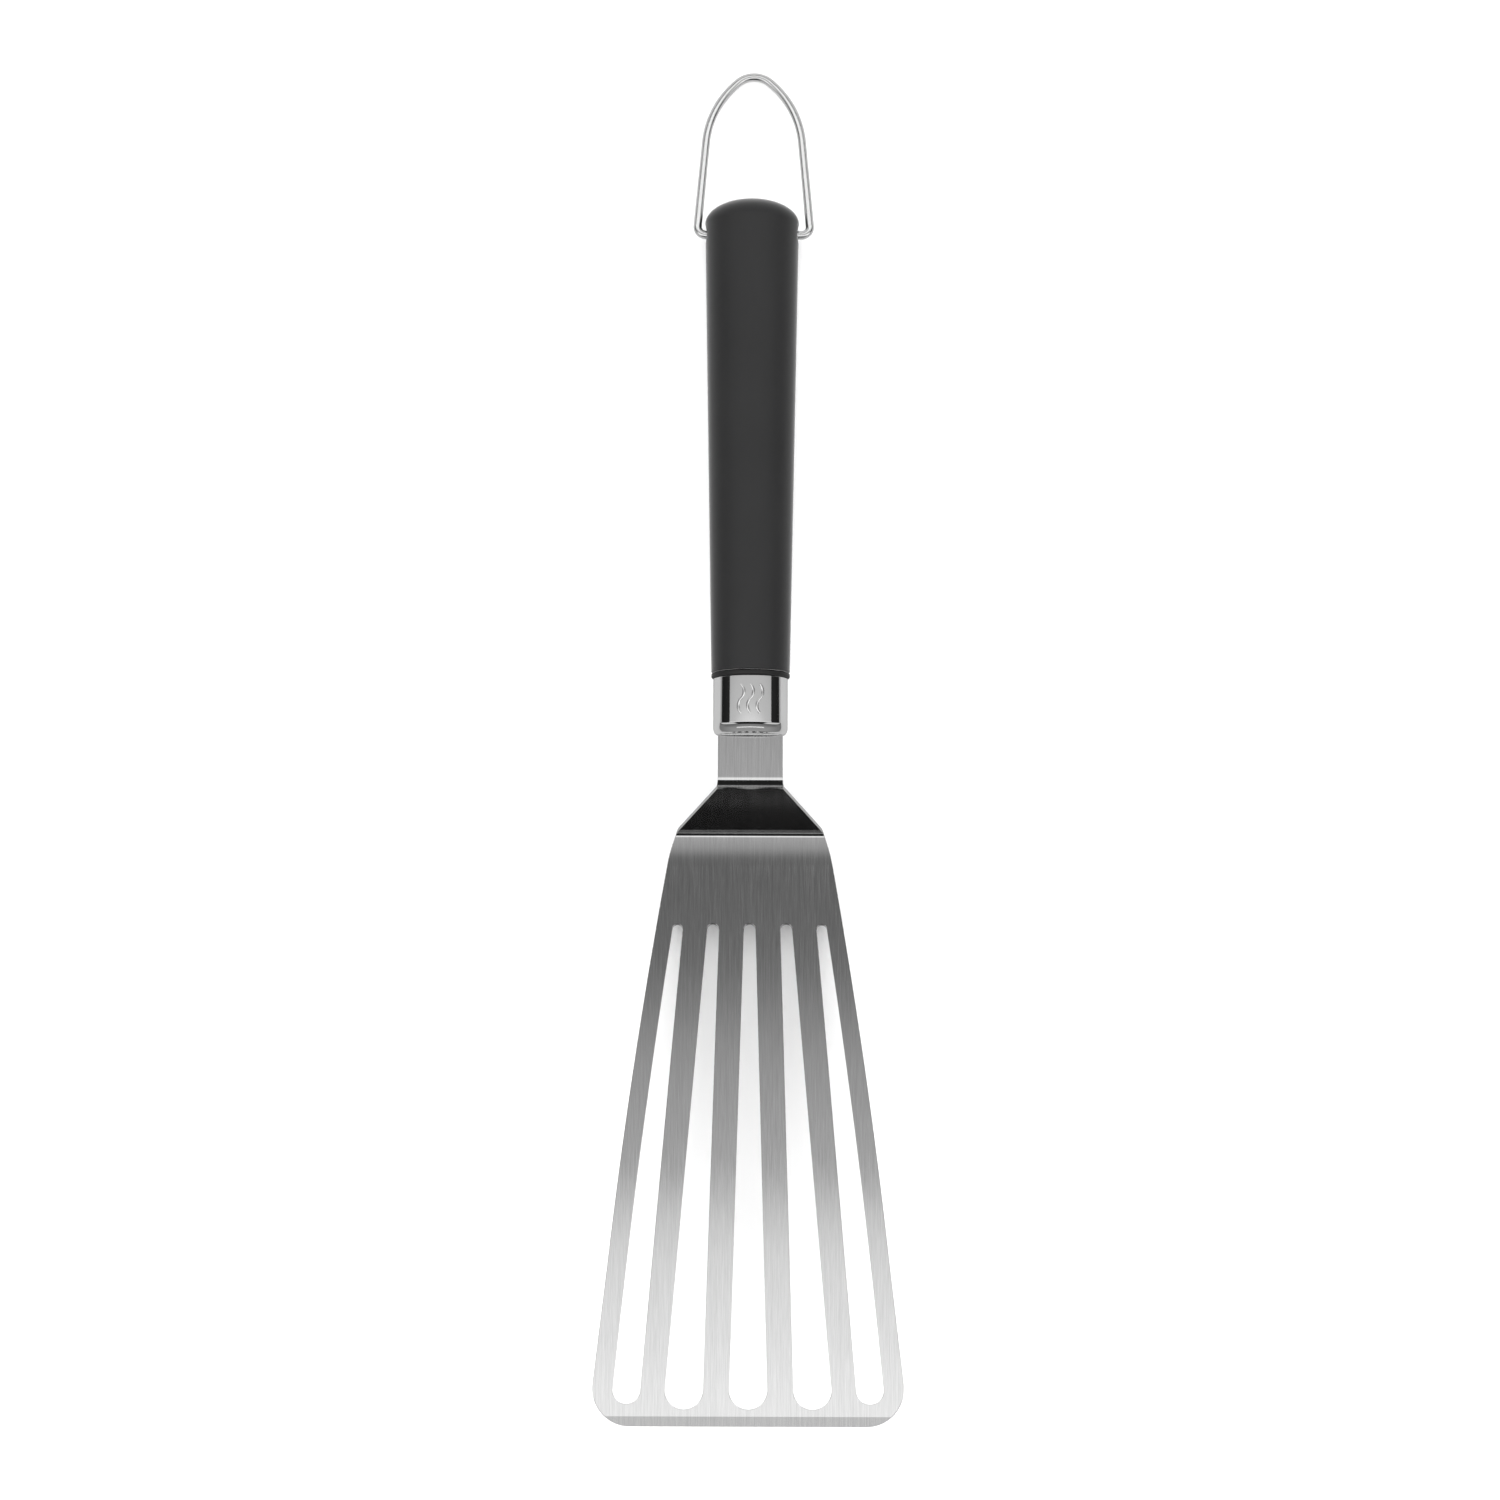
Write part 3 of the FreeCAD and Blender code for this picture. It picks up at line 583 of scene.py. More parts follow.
@dataclass
class Blade:
    """The slotted blade, heel, step face, neck and tang: one blank, pressed to shape."""

    neck: Bearing
    box: tuple[Vector, Vector]
    finish: BrushedSheet = BrushedSheet()
    sheet: float = 1.2
    pitches: tuple[float, float, float] = (-16.5, -8.0, 65.0)
    blade_length: float = 173.3
    curved_length: float = 125.0
    half_start: float = 26.15
    half_mid: float = 35.6
    half_arc_end: float = 42.95
    corner_start: float = 162.0
    corner_half: float = 47.0
    corner_radius: float = 11.3
    heel_half: float = 23.75
    face_half: tuple[float, float] = (22.5, 10.35)
    face_length: float = 31.61
    neck_half: float = 9.95
    tang_half: float = 7.0
    shoulder: tuple[float, float] = (16.9, 19.85)
    tang_end: float = 104.9
    gentle_radius: float = 63.6
    heel_radius: float = 2.6
    neck_radius: float = 3.2
    bevel_length: float = 2.9
    bevel_edge: float = 0.72
    slot_run: tuple[float, float] = (20.4, 162.5)
    middle_slots: tuple[float, float, float, float] = (1.85, 5.8, 11.5, 19.35)
    side_slots: tuple[float, float, float, float] = (1.6, 4.2, 22.65, 36.65)
    side_bulge: float = 0.95
    edge_round: float = 0.13
    rivet_radius: float = 2.0
    rivet_runs: tuple[float, float] = (36.9, 88.9)
    bend_bow: tuple[float, float, float] = (0.45, 0.15, 0.15)    # how far each bend's edges stand out half-way
    bend_steps: int = 16
    corner_steps: int = 24
    bow_steps: int = 40
    slot_steps: tuple[int, int] = (28, 20)
    hole_sides: int = 24
    crease: float = 8.5    # degrees past which an edge stays crisp

    def stretches(self) -> list[tuple[Stretch, float, float]]:
        """Each stretch's length and turn in degrees, walking from the tip."""
        flat, gentle, face = self.pitches
        turns = {Stretch.GENTLE: gentle - flat, Stretch.HEEL: face - gentle}
        turns[Stretch.NECK_BEND] = self.neck.pitch - face
        radii = {Stretch.GENTLE: self.gentle_radius, Stretch.HEEL: self.heel_radius}
        radii[Stretch.NECK_BEND] = self.neck_radius
        runs = {Stretch.BLADE: self.blade_length, Stretch.FACE: self.face_length, Stretch.NECK: self.tang_end}
        rows = []
        for part in Stretch:
            turn = turns.get(part, 0.0)
            length = runs.get(part, radii.get(part, 0.0) * abs(math.radians(turn)))
            rows.append((part, length, turn))
        return rows

    def starts(self) -> dict[Stretch, float]:
        """How far from the tip each stretch starts."""
        found, run = {}, 0.0
        for part, length, _ in self.stretches():
            found[part] = run
            run += length
        return found

    def tip(self) -> Bearing:
        """The middle of the sheet at the tip, found by walking back from the neck."""
        bearing = Bearing(self.neck.y, self.neck.z, self.neck.pitch)
        for _, length, turn in reversed(self.stretches()[:-1]):
            reverse = Bearing(0.0, 0.0, bearing.pitch - turn).walk(length, turn)
            bearing = Bearing(bearing.y - reverse.y, bearing.z - reverse.z, bearing.pitch - turn)
        return bearing

    def side(self) -> list[Point]:
        """The right-hand outline of the blank, (half width, run from the tip), tip first."""
        starts = self.starts()
        flare = math.atan2(self.corner_half - self.half_arc_end, self.corner_start - self.curved_length)
        tip_half = self.corner_half + (self.blade_length - self.corner_start) * math.tan(flare)
        hub_x = tip_half - self.corner_radius * (1 / math.cos(flare) + math.tan(flare))
        points = swing((hub_x, self.corner_radius), self.corner_radius, -90, math.degrees(flare), self.corner_steps)
        curve_start = self.blade_length - self.curved_length
        points += self.bow((self.half_arc_end, curve_start), (self.half_mid, (curve_start + self.blade_length) / 2),
                           (self.half_start, self.blade_length), self.bow_steps)
        gentle_bow, heel_bow, neck_bow = self.bend_bow
        shoulder = (self.heel_half + self.half_start) / 2 + gentle_bow
        points += self.ease(Stretch.GENTLE, self.half_start, shoulder, self.heel_half)
        heel_mid = (self.face_half[0] + self.heel_half) / 2 + heel_bow
        points += self.ease(Stretch.HEEL, self.heel_half, heel_mid, self.face_half[0])
        points += self.ease(Stretch.NECK_BEND, self.face_half[1], self.neck_half + neck_bow, self.neck_half)
        neck = starts[Stretch.NECK]
        chamfer = self.tang_half / 2
        points += [(self.neck_half, neck + self.shoulder[0]), (self.tang_half, neck + self.shoulder[1])]
        points += [(self.tang_half, neck + self.tang_end - chamfer)]
        points += [(self.tang_half - chamfer, neck + self.tang_end)]
        return points

    def ease(self, part: Stretch, first: float, middle: float, last: float) -> list[Point]:
        """Half widths that ease over one stretch, as points past its start."""
        start = self.starts()[part]
        length = {name: size for name, size, _ in self.stretches()}[part]
        points = []
        for step in range(0 if part is Stretch.NECK_BEND else 1, self.bend_steps + 1):
            share = step / self.bend_steps
            half = first * (1 - share) ** 2 + middle * 2 * share * (1 - share) + last * share ** 2
            points.append((half, start + length * share))
        return points

    @staticmethod
    def bow(first: Point, middle: Point, last: Point, steps: int) -> list[Point]:
        """Points on the circle through three points."""
        a, b, c = Vector(first), Vector(middle), Vector(last)
        cross = 2 * ((b - a).x * (c - a).y - (b - a).y * (c - a).x)
        ab, ac = (b - a).length_squared, (c - a).length_squared
        hub = a + Vector(((c - a).y * ab - (b - a).y * ac, (b - a).x * ac - (c - a).x * ab)) / cross
        start, end = a - hub, c - hub
        sweep = math.atan2(start.x * end.y - start.y * end.x, start.dot(end))
        spokes = [Matrix.Rotation(sweep * step / steps, 2) @ start for step in range(steps + 1)]
        return [(hub.x + spoke.x, hub.y + spoke.y) for spoke in spokes]

    def slot(self, top_x: float, top_radius: float, end_x: float, end_radius: float,
             bulge: float) -> list[Point]:
        """One tapered slot as a closed line: the hull of two circles, its outer edge bowed by bulge."""
        top_run, end_run = self.blade_length - self.slot_run[0], self.blade_length - self.slot_run[1]
        run = Vector((end_x - top_x, end_run - top_run))
        heading = math.degrees(math.atan2(run.y, run.x))
        taper = math.degrees(math.asin((end_radius - top_radius) / run.length))
        tip_arc = swing((end_x, end_run), end_radius, heading - 90 - taper, heading + 90 + taper, self.slot_steps[0])
        top_arc = swing((top_x, top_run), top_radius, heading + 90 + taper, heading + 270 - taper, self.slot_steps[1])
        if not bulge:
            return tip_arc + top_arc
        outer = 1 if end_x > 0 else -1
        first, last = (tip_arc[-1], top_arc[0]) if outer > 0 else (top_arc[-1], tip_arc[0])
        middle = ((first[0] + last[0]) / 2 + outer * bulge, (first[1] + last[1]) / 2)
        bowed = self.bow(first, middle, last, self.bow_steps)[1:-1]
        return tip_arc + bowed + top_arc if outer > 0 else tip_arc + top_arc + bowed

    def slots(self) -> list[list[Point]]:
        """All five slots."""
        small, large, top_pitch, end_pitch = self.middle_slots
        made = [self.slot(n * top_pitch, small, n * end_pitch, large, 0.0) for n in (-1, 0, 1)]
        small, large, top_x, end_x = self.side_slots
        made += [self.slot(side * top_x, small, side * end_x, large, self.side_bulge) for side in (-1, 1)]
        return made

    def blank(self) -> bpy.types.Mesh:
        """The flat blank with its slots, rivet holes and softened edges, X across and Y from the tip."""
        side = self.side()
        neck = self.starts()[Stretch.NECK]
        last = 360 - 360 / self.hole_sides
        holes = [swing((0, neck + run), self.rivet_radius, 0, last, self.hole_sides - 1) for run in self.rivet_runs]
        curve = bpy.data.curves.new("blank", "CURVE")
        curve.dimensions = "2D"
        curve.fill_mode = "BOTH"
        curve.extrude = self.sheet / 2 - self.edge_round
        curve.bevel_depth = self.edge_round
        curve.bevel_resolution = 1
        curve.offset = -self.edge_round
        for loop in [side + [(-x, run) for x, run in reversed(side)], *self.slots(), *holes]:
            spline = curve.splines.new("POLY")
            spline.points.add(len(loop) - 1)
            spline.use_cyclic_u = True
            for spot, (x, run) in zip(spline.points, loop):
                spot.co = (x, run, 0, 1)
        host = bpy.data.objects.new("blank", curve)
        bpy.context.scene.collection.objects.link(host)
        return frozen(host)

    def press(self, mesh: bpy.types.Mesh) -> None:
        """Cuts the blank across at its bends, bevels the tip, and bends it to shape in millimetres."""
        work = bmesh.new()
        work.from_mesh(mesh)
        bmesh.ops.remove_doubles(work, verts=work.verts, dist=ONE_VERTEX)
        cuts = [self.bevel_length]
        starts = self.starts()
        for part, length, turn in self.stretches():
            steps = self.bend_steps if turn else 1
            if part is not Stretch.BLADE:
                cuts += [starts[part] + length * step / steps for step in range(steps)]
        for run in cuts:
            everything = work.verts[:] + work.edges[:] + work.faces[:]
            bmesh.ops.bisect_plane(work, geom=everything, plane_co=(0, run, 0), plane_no=(0, 1, 0), dist=ON_THE_CUT)
        tip = self.tip()
        half = self.sheet / 2
        for vertex in work.verts:
            x, run, rise = vertex.co
            if run < self.bevel_length and rise > 0:
                slope = half - (2 * half - self.bevel_edge) * (1 - run / self.bevel_length)
                rise = min(rise, max(slope, -half + self.bevel_edge))
            vertex.co = self.bearing_at(tip, run).point(x, 0, rise)
        bmesh.ops.recalc_face_normals(work, faces=work.faces)
        work.to_mesh(mesh)
        work.free()

    def bearing_at(self, tip: Bearing, run: float) -> Bearing:
        """The middle of the sheet at a run from the tip."""
        bearing = tip
        for _, length, turn in self.stretches():
            if run <= length or turn == 0.0 and length == self.tang_end:
                share = run / length
                return bearing.walk(run, turn * share) if run else bearing
            bearing = bearing.walk(length, turn)
            run -= length
        return bearing

    def build(self) -> bpy.types.Object:
        """Makes, presses and dresses the sheet."""
        mesh = self.blank()
        self.press(mesh)
        piece = place(mesh, "blade_sheet", Matrix.Scale(MM, 4), self.finish.material())
        mesh.set_sharp_from_angle(angle=math.radians(self.crease))
        even_normals(piece)
        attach(piece, "handle")
        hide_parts("blade")
        LOG.info("blade_sheet: %d faces, tip %.2f mm from the frame's", len(mesh.polygons),
                 min(v.co.y for v in mesh.vertices) / MM - self.box[0].y / MM)
        return piece


# ---------------------------------------------------------------- the handle's pieces
@dataclass
class Ferrule:
    """Polished collar with a rounded, closed front and three raised heat waves."""

    handle: Bearing
    finish: PolishedPlate = PolishedPlate()
    start: float = 12.9
    length: float = 17.55
    half: float = 11.45
    wall: float = 0.9
    nose: float = 3.3
    nose_round: tuple[float, float] = (1.4, 2.4)
    nose_depths: tuple[float, ...] = (1.0, 0.97, 0.915, 0.855, 0.79, 0.72, 0.64)
    depths: tuple[float, float] = (8.5, 9.16)
    nose_steps: int = 30
    slit: tuple[float, float] = (10.0, 0.65)
    wave_middle: float = 10.3
    wave_count: int = 3
    wave_spacing: float = 2.9
    wave_radius: float = 3.1
    wave_width: float = 0.9
    wave_relief: float = 0.3
    rear_edge: tuple[Point, ...] = ((0.25, 0.0), (0.07, 0.07), (0.0, 0.25))    # inset, and distance from the rear
    segments: int = 192

    def depth_at(self, share: float) -> float:
        """Depth of the nose's section, as a share of the full depth, part of the way to the front."""
        spans = len(self.nose_depths) - 1
        first = min(int(share * spans), spans - 1)
        part = share * spans - first
        knots = [self.nose_depths[max(0, min(spans, first + step))] for step in (-1, 0, 1, 2)]
        if first == 0:
            knots[0] = knots[1]
        before, low, high, after = knots
        bend = (2 * before - 5 * low + 4 * high - after) * part ** 2
        twist = (3 * (low - high) + after - before) * part ** 3
        return 0.5 * (2 * low + (high - before) * part + bend + twist)

    def rings(self) -> list[Ring]:
        """Sections from the rear lip forwards over the nose, in to the neck, and back along the inside."""
        rear, edge = self.start + self.length, self.start + self.nose
        front_depth, rear_depth = self.depths
        made = [Ring(self.half - inset, rear_depth - inset, rear - back) for inset, back in self.rear_edge]
        across, length = self.nose_round
        for step in range(self.nose_steps + 1):
            share = step / self.nose_steps
            turn = max(0.0, share * self.nose - (self.nose - length)) / length
            half = self.half - across * (1 - math.sqrt(max(0.0, 1 - turn ** 2)))
            made.append(Ring(half, front_depth * self.depth_at(share), edge - share * self.nose))
        slit_half, slit_depth = self.slit
        made += [Ring(slit_half, slit_depth, self.start), Ring(slit_half, slit_depth, edge)]
        inner = self.half - self.wall
        return made + [Ring(inner, front_depth - self.wall, edge), Ring(inner, rear_depth - self.wall, rear)]

    def wave_line(self) -> list[Point]:
        """The middle line of one wave: two quarter circles, one each way."""
        radius = self.wave_radius
        reach = radius * math.sqrt(2)
        lower = swing((radius * math.sqrt(0.5), -reach / 2), radius, 225, 135, 12)
        upper = swing((-radius * math.sqrt(0.5), reach / 2), radius, -45, 45, 12)
        return lower + upper[1:]

    @staticmethod
    def wave_tree(numbers: dict[str, float]) -> bpy.types.NodeTree:
        """Geometry tree: a rounded ridge along the line, repeated across and laid on the oval wall."""
        graph, group, tree = geometry_tree("heat_waves", numbers)
        section = graph.node("GeometryNodeCurvePrimitiveCircle", {"mode": "RADIUS"}, {"Resolution": 16})
        scale = graph.node("ShaderNodeCombineXYZ", {}, {"X": group["Half width"], "Y": group["Relief"], "Z": 1.0})
        section = graph.node("GeometryNodeTransform", {}, {"Geometry": section, "Scale": scale})
        line = graph.node("GeometryNodeMeshToCurve", {}, {"Mesh": group["Geometry"]})
        line = graph.node("GeometryNodeSetCurveNormal", {"mode": "Z_UP"}, {"Curve": line})
        ridge = graph.node("GeometryNodeCurveToMesh", {}, {"Curve": line, "Profile Curve": section,
                                                           "Fill Caps": True})
        step = graph.node("ShaderNodeCombineXYZ", {}, {"X": group["Spacing"]})
        reach = (group["Count"] - 1.0) * group["Spacing"] * -0.5
        first = graph.node("ShaderNodeCombineXYZ", {}, {"X": reach})
        spots = graph.node("GeometryNodeMeshLine", {}, {"Count": group["Count"], "Start Location": first,
                                                        "Offset": step})
        waves = graph.node("GeometryNodeInstanceOnPoints", {}, {"Points": spots, "Instance": ridge})
        waves = graph.node("GeometryNodeRealizeInstances", {}, {"Geometry": waves})
        position = graph.node("GeometryNodeInputPosition")
        apart = graph.node("ShaderNodeSeparateXYZ", {}, {"Vector": position})
        across, along, up = (Sock(graph, apart.socket.node.outputs[number]) for number in range(3))
        share = across / group["Wall half"]
        height = (1.0 - share * share).root() * (group["Depth"] + along * group["Slope"])
        laid = graph.node("ShaderNodeCombineXYZ", {}, {"X": across, "Y": along + group["Middle"], "Z": up + height})
        waves = graph.node("GeometryNodeSetPosition", {}, {"Geometry": waves, "Position": laid})
        waves = graph.node("GeometryNodeSetShadeSmooth", {}, {"Geometry": waves})
        waves = graph.node("GeometryNodeSetMaterial", {}, {"Geometry": waves})
        graph.node("NodeGroupOutput", {}, {"Geometry": waves})
        return tree

    def build(self) -> list[bpy.types.Object]:
        """Makes and dresses the collar and its waves."""
        material = self.finish.material()
        shell = ring_mesh("ferrule_shell", self.rings(), self.segments)
        collar = place(shell, "ferrule_shell", self.handle.matrix(), material)
        even_normals(collar)
        values = {"Count": self.wave_count, "Spacing": self.wave_spacing, "Half width": self.wave_width / 2}
        slope = (self.depths[1] - self.depths[0]) / (self.length - self.nose)
        depth = self.depths[0] + slope * (self.wave_middle - self.nose)
        values |= {"Relief": self.wave_relief, "Wall half": self.half, "Depth": depth, "Slope": slope}
        values["Middle"] = self.start + self.wave_middle
        mesh = run_tree(polyline("wave_line", self.wave_line()), self.wave_tree(values), values)
        mesh.name = "heat_waves"
        waves = place(mesh, "heat_waves", self.handle.matrix(), material)
        for piece in (collar, waves):
            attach(piece, "handle")
        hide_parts("ferrule")
        LOG.info("ferrule_shell and heat_waves: %d and %d faces", len(shell.polygons), len(mesh.polygons))
        return [collar, waves]


@dataclass
class Grip:
    """Soft sleeve with a domed butt, and the hard lip in front of it."""

    handle: Bearing
    skin: SoftTouch = SoftTouch()
    lip: MouldedNylon = MouldedNylon()
    lip_start: float = 30.5
    lip_length: float = 1.4
    groove: float = 0.35
    half_front: float = 12.05
    half_butt: float = 14.65
    dome: float = 7.7
    end: float = 181.7
    wall: float = 2.4
    flatness: float = 0.8
    edge: float = 0.5
    spigot_half: float = 9.45
    lip_rear_edge: float = 0.2
    seat_run: float = 171.0
    seat_radius: float = 2.95
    seat_floor: float = 6.0
    seat_rim: tuple[Point, ...] = ((0.0, -0.75), (0.35, -0.1), (0.9, 1.0))    # opening, by place past the side
    stations: range = range(4, 140, 4)    # places of sections behind the front
    segments: int = 144

    def half_at(self, run: float) -> float:
        """Half width of the grip at a place along the handle."""
        share = (run - self.lip_start) / (self.end - self.dome - self.lip_start)
        return self.half_front + (self.half_butt - self.half_front) * share

    def sleeve_profile(self) -> list[Point]:
        """Outside from the front lip to the butt's pole, then the inside back to the front."""
        start = self.lip_start + self.lip_length + self.groove
        dome_start = self.end - self.dome
        front = self.half_at(start)
        outside = rounded([Corner(front - self.wall, start), Corner(front, start, self.edge),
                           Corner(self.half_at(start + self.stations[0]), start + self.stations[0])])
        outside += [(self.half_at(start + step), start + step) for step in self.stations[1:]]
        dome_steps = 28
        quarter = [math.radians(90 * step / dome_steps) for step in range(dome_steps + 1)]
        dome = [(self.half_butt * math.cos(turn), dome_start + self.dome * math.sin(turn)) for turn in quarter]
        hollow = self.half_butt - self.wall
        inner = [(hollow * math.cos(turn), dome_start + (self.dome - self.wall) * math.sin(turn))
                 for turn in reversed(quarter[::4])]
        return outside + dome[:-1] + [(0.0, self.end), (0.0, self.end - self.wall)] + inner[1:]

    def lip_profile(self) -> list[Point]:
        """Closed profile of the lip and its hub."""
        rear = self.lip_start + self.lip_length
        hub = self.half_front - 2 * self.edge
        line = rounded([Corner(self.spigot_half, self.lip_start), Corner(self.half_front, self.lip_start, self.edge),
                        Corner(self.half_front, rear, self.lip_rear_edge), Corner(hub, rear),
                        Corner(hub, rear + self.groove)])
        return line + [(self.spigot_half, rear + self.groove)]

    def pierce(self, sleeve: bpy.types.Object) -> bpy.types.Mesh:
        """Cuts the two side holes for the loop's seats, their rims slightly opened."""
        cutter = bmesh.new()
        for side in (-1, 1):
            profile = [(0.0, self.seat_floor), (self.seat_radius, self.seat_floor)]
            profile += [(self.seat_radius + opening, self.half_butt + past) for opening, past in self.seat_rim]
            profile.append((0.0, profile[-1][1]))
            plug = oval_mesh("plug", profile, 1.0, self.segments // 3)
            plug.transform(Matrix.Translation((0, self.seat_run, 0)) @ Matrix.Rotation(-side * math.pi / 2, 4, "Z"))
            cutter.from_mesh(plug)
        mesh = bpy.data.meshes.new("seat_cutter")
        cutter.to_mesh(mesh)
        cutter.free()
        tool = bpy.data.objects.new("seat_cutter", mesh)
        bpy.context.scene.collection.objects.link(tool)
        cut = sleeve.modifiers.new("seats", "BOOLEAN")
        cut.operation = "DIFFERENCE"
        cut.solver = "EXACT"
        cut.object = tool
        result = frozen(sleeve)
        bpy.data.objects.remove(tool)
        return result

    def build(self) -> list[bpy.types.Object]:
        """Makes and dresses the sleeve and the lip."""
        raw = oval_mesh("grip_sleeve", self.sleeve_profile(), self.flatness, self.segments)
        host = bpy.data.objects.new("grip_blank", raw)
        bpy.context.scene.collection.objects.link(host)
        pierced = self.pierce(host)
        pierced.name = "grip_sleeve"
        sleeve = place(pierced, "grip_sleeve", self.handle.matrix(), self.skin.material())
        ring = oval_mesh("front_lip", self.lip_profile(), self.flatness, self.segments)
        lip = place(ring, "front_lip", self.handle.matrix(), self.lip.material())
        for piece, node, slot in ((sleeve, "grip", "soft_black"), (lip, "front_collar", "hard_black")):
            even_normals(piece)
            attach(piece, "handle")
            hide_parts(node)
        LOG.info("grip_sleeve and front_lip: %d and %d faces", len(pierced.polygons), len(ring.polygons))
        return [sleeve, lip]


@dataclass
class HangLoop:
    """Bent wire bail that swings on the butt."""

    pivot: Vector
    finish: DrawnWire = DrawnWire()
    wire_radius: float = 1.3
    length: float = 52.3
    apex_radius: float = 7.6
    apex_turn: float = 41.3
    side_radius: float = 30.0
    flare: float = 5.0
    foot_radius: float = 2.7
    end_x: float = 8.9
    play: float = 0.5
    sides: int = 32
    arc_steps: tuple[int, int, int] = (16, 24, 14)    # pieces in the apex, in a side and in a foot

    def droop(self) -> float:
        """Pitch, in degrees, at which the apex lies on the table."""
        return -math.degrees(math.asin((self.pivot.z - self.wire_radius) / self.length))

    def line(self) -> list[Point]:
        """The wire's middle line, from the left end over the apex to the right end."""
        crown = (0.0, self.length - self.apex_radius)
        apex_steps, side_steps, foot_steps = self.arc_steps
        apex = swing(crown, self.apex_radius, 90, 90 - self.apex_turn, apex_steps)
        turn = math.radians(90 - self.apex_turn)
        hub = (apex[-1][0] - self.side_radius * math.cos(turn), apex[-1][1] - self.side_radius * math.sin(turn))
        side = swing(hub, self.side_radius, 90 - self.apex_turn, self.flare, side_steps)
        flare = math.radians(self.flare)
        foot_y = self.foot_radius * (1 - math.sin(-flare)) - 2 * self.foot_radius * math.sin(flare)
        foot_x = side[-1][0] + (side[-1][1] - foot_y) * math.tan(flare)
        foot_hub = (foot_x - self.foot_radius * math.cos(flare), foot_y - self.foot_radius * math.sin(flare))
        foot = swing(foot_hub, self.foot_radius, self.flare, -90, foot_steps)
        right = apex[1:] + side[1:] + foot + [(self.end_x, foot[-1][1])]
        return [(-x, y) for x, y in reversed(right)] + [apex[0]] + right

    @staticmethod
    def wire_tree(numbers: dict[str, float]) -> bpy.types.NodeTree:
        """Geometry tree: a round wire with closed ends along a line."""
        graph, group, tree = geometry_tree("bent_wire", numbers)
        section = graph.node("GeometryNodeCurvePrimitiveCircle", {"mode": "RADIUS"},
                             {"Resolution": group["Sides"], "Radius": group["Wire radius"]})
        line = graph.node("GeometryNodeMeshToCurve", {}, {"Mesh": group["Geometry"]})
        wire = graph.node("GeometryNodeCurveToMesh", {}, {"Curve": line, "Profile Curve": section,
                                                          "Fill Caps": True})
        wire = graph.node("GeometryNodeRealizeInstances", {}, {"Geometry": wire})
        wire = graph.node("GeometryNodeSetShadeSmooth", {}, {"Geometry": wire})
        wire = graph.node("GeometryNodeSetMaterial", {}, {"Geometry": wire})
        graph.node("NodeGroupOutput", {}, {"Geometry": wire})
        return tree

    def build(self) -> bpy.types.Object:
        """Makes and dresses the wire where it rests."""
        values = {"Wire radius": self.wire_radius, "Sides": self.sides}
        mesh = run_tree(polyline("wire_line", self.line()), self.wire_tree(values), values)
        mesh.name = "wire_loop"
        mesh.transform(Matrix.Translation((self.play, 0, 0)))
        rest = Bearing(self.pivot.y, self.pivot.z, self.droop())
        wire = place(mesh, "wire_loop", rest.matrix(), self.finish.material())
        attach(wire, "loop")
        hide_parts("hang_loop")
        LOG.info("wire_loop: %d faces", len(mesh.polygons))
        return wire


@dataclass
class HandleCore:
    """The rigid halves and rivets inside the grip, kept as the frame has them."""

    nodes: dict[str, bpy.types.Object]
    nylon: MouldedNylon = MouldedNylon()
    rivet: RivetSteel = RivetSteel()

    def dress(self) -> None:
        """Gives each hidden node its finish."""
        finishes = {"core_": (self.nylon.material(), "hard_black"), "tang_": (self.rivet.material(), "rivet_steel")}
        for name, node in self.nodes.items():
            for prefix, (material, slot) in finishes.items():
                if not name.startswith(prefix):
                    continue
                for holder in node.material_slots:
                    holder.material = material
                LOG.info("%s dressed", name)


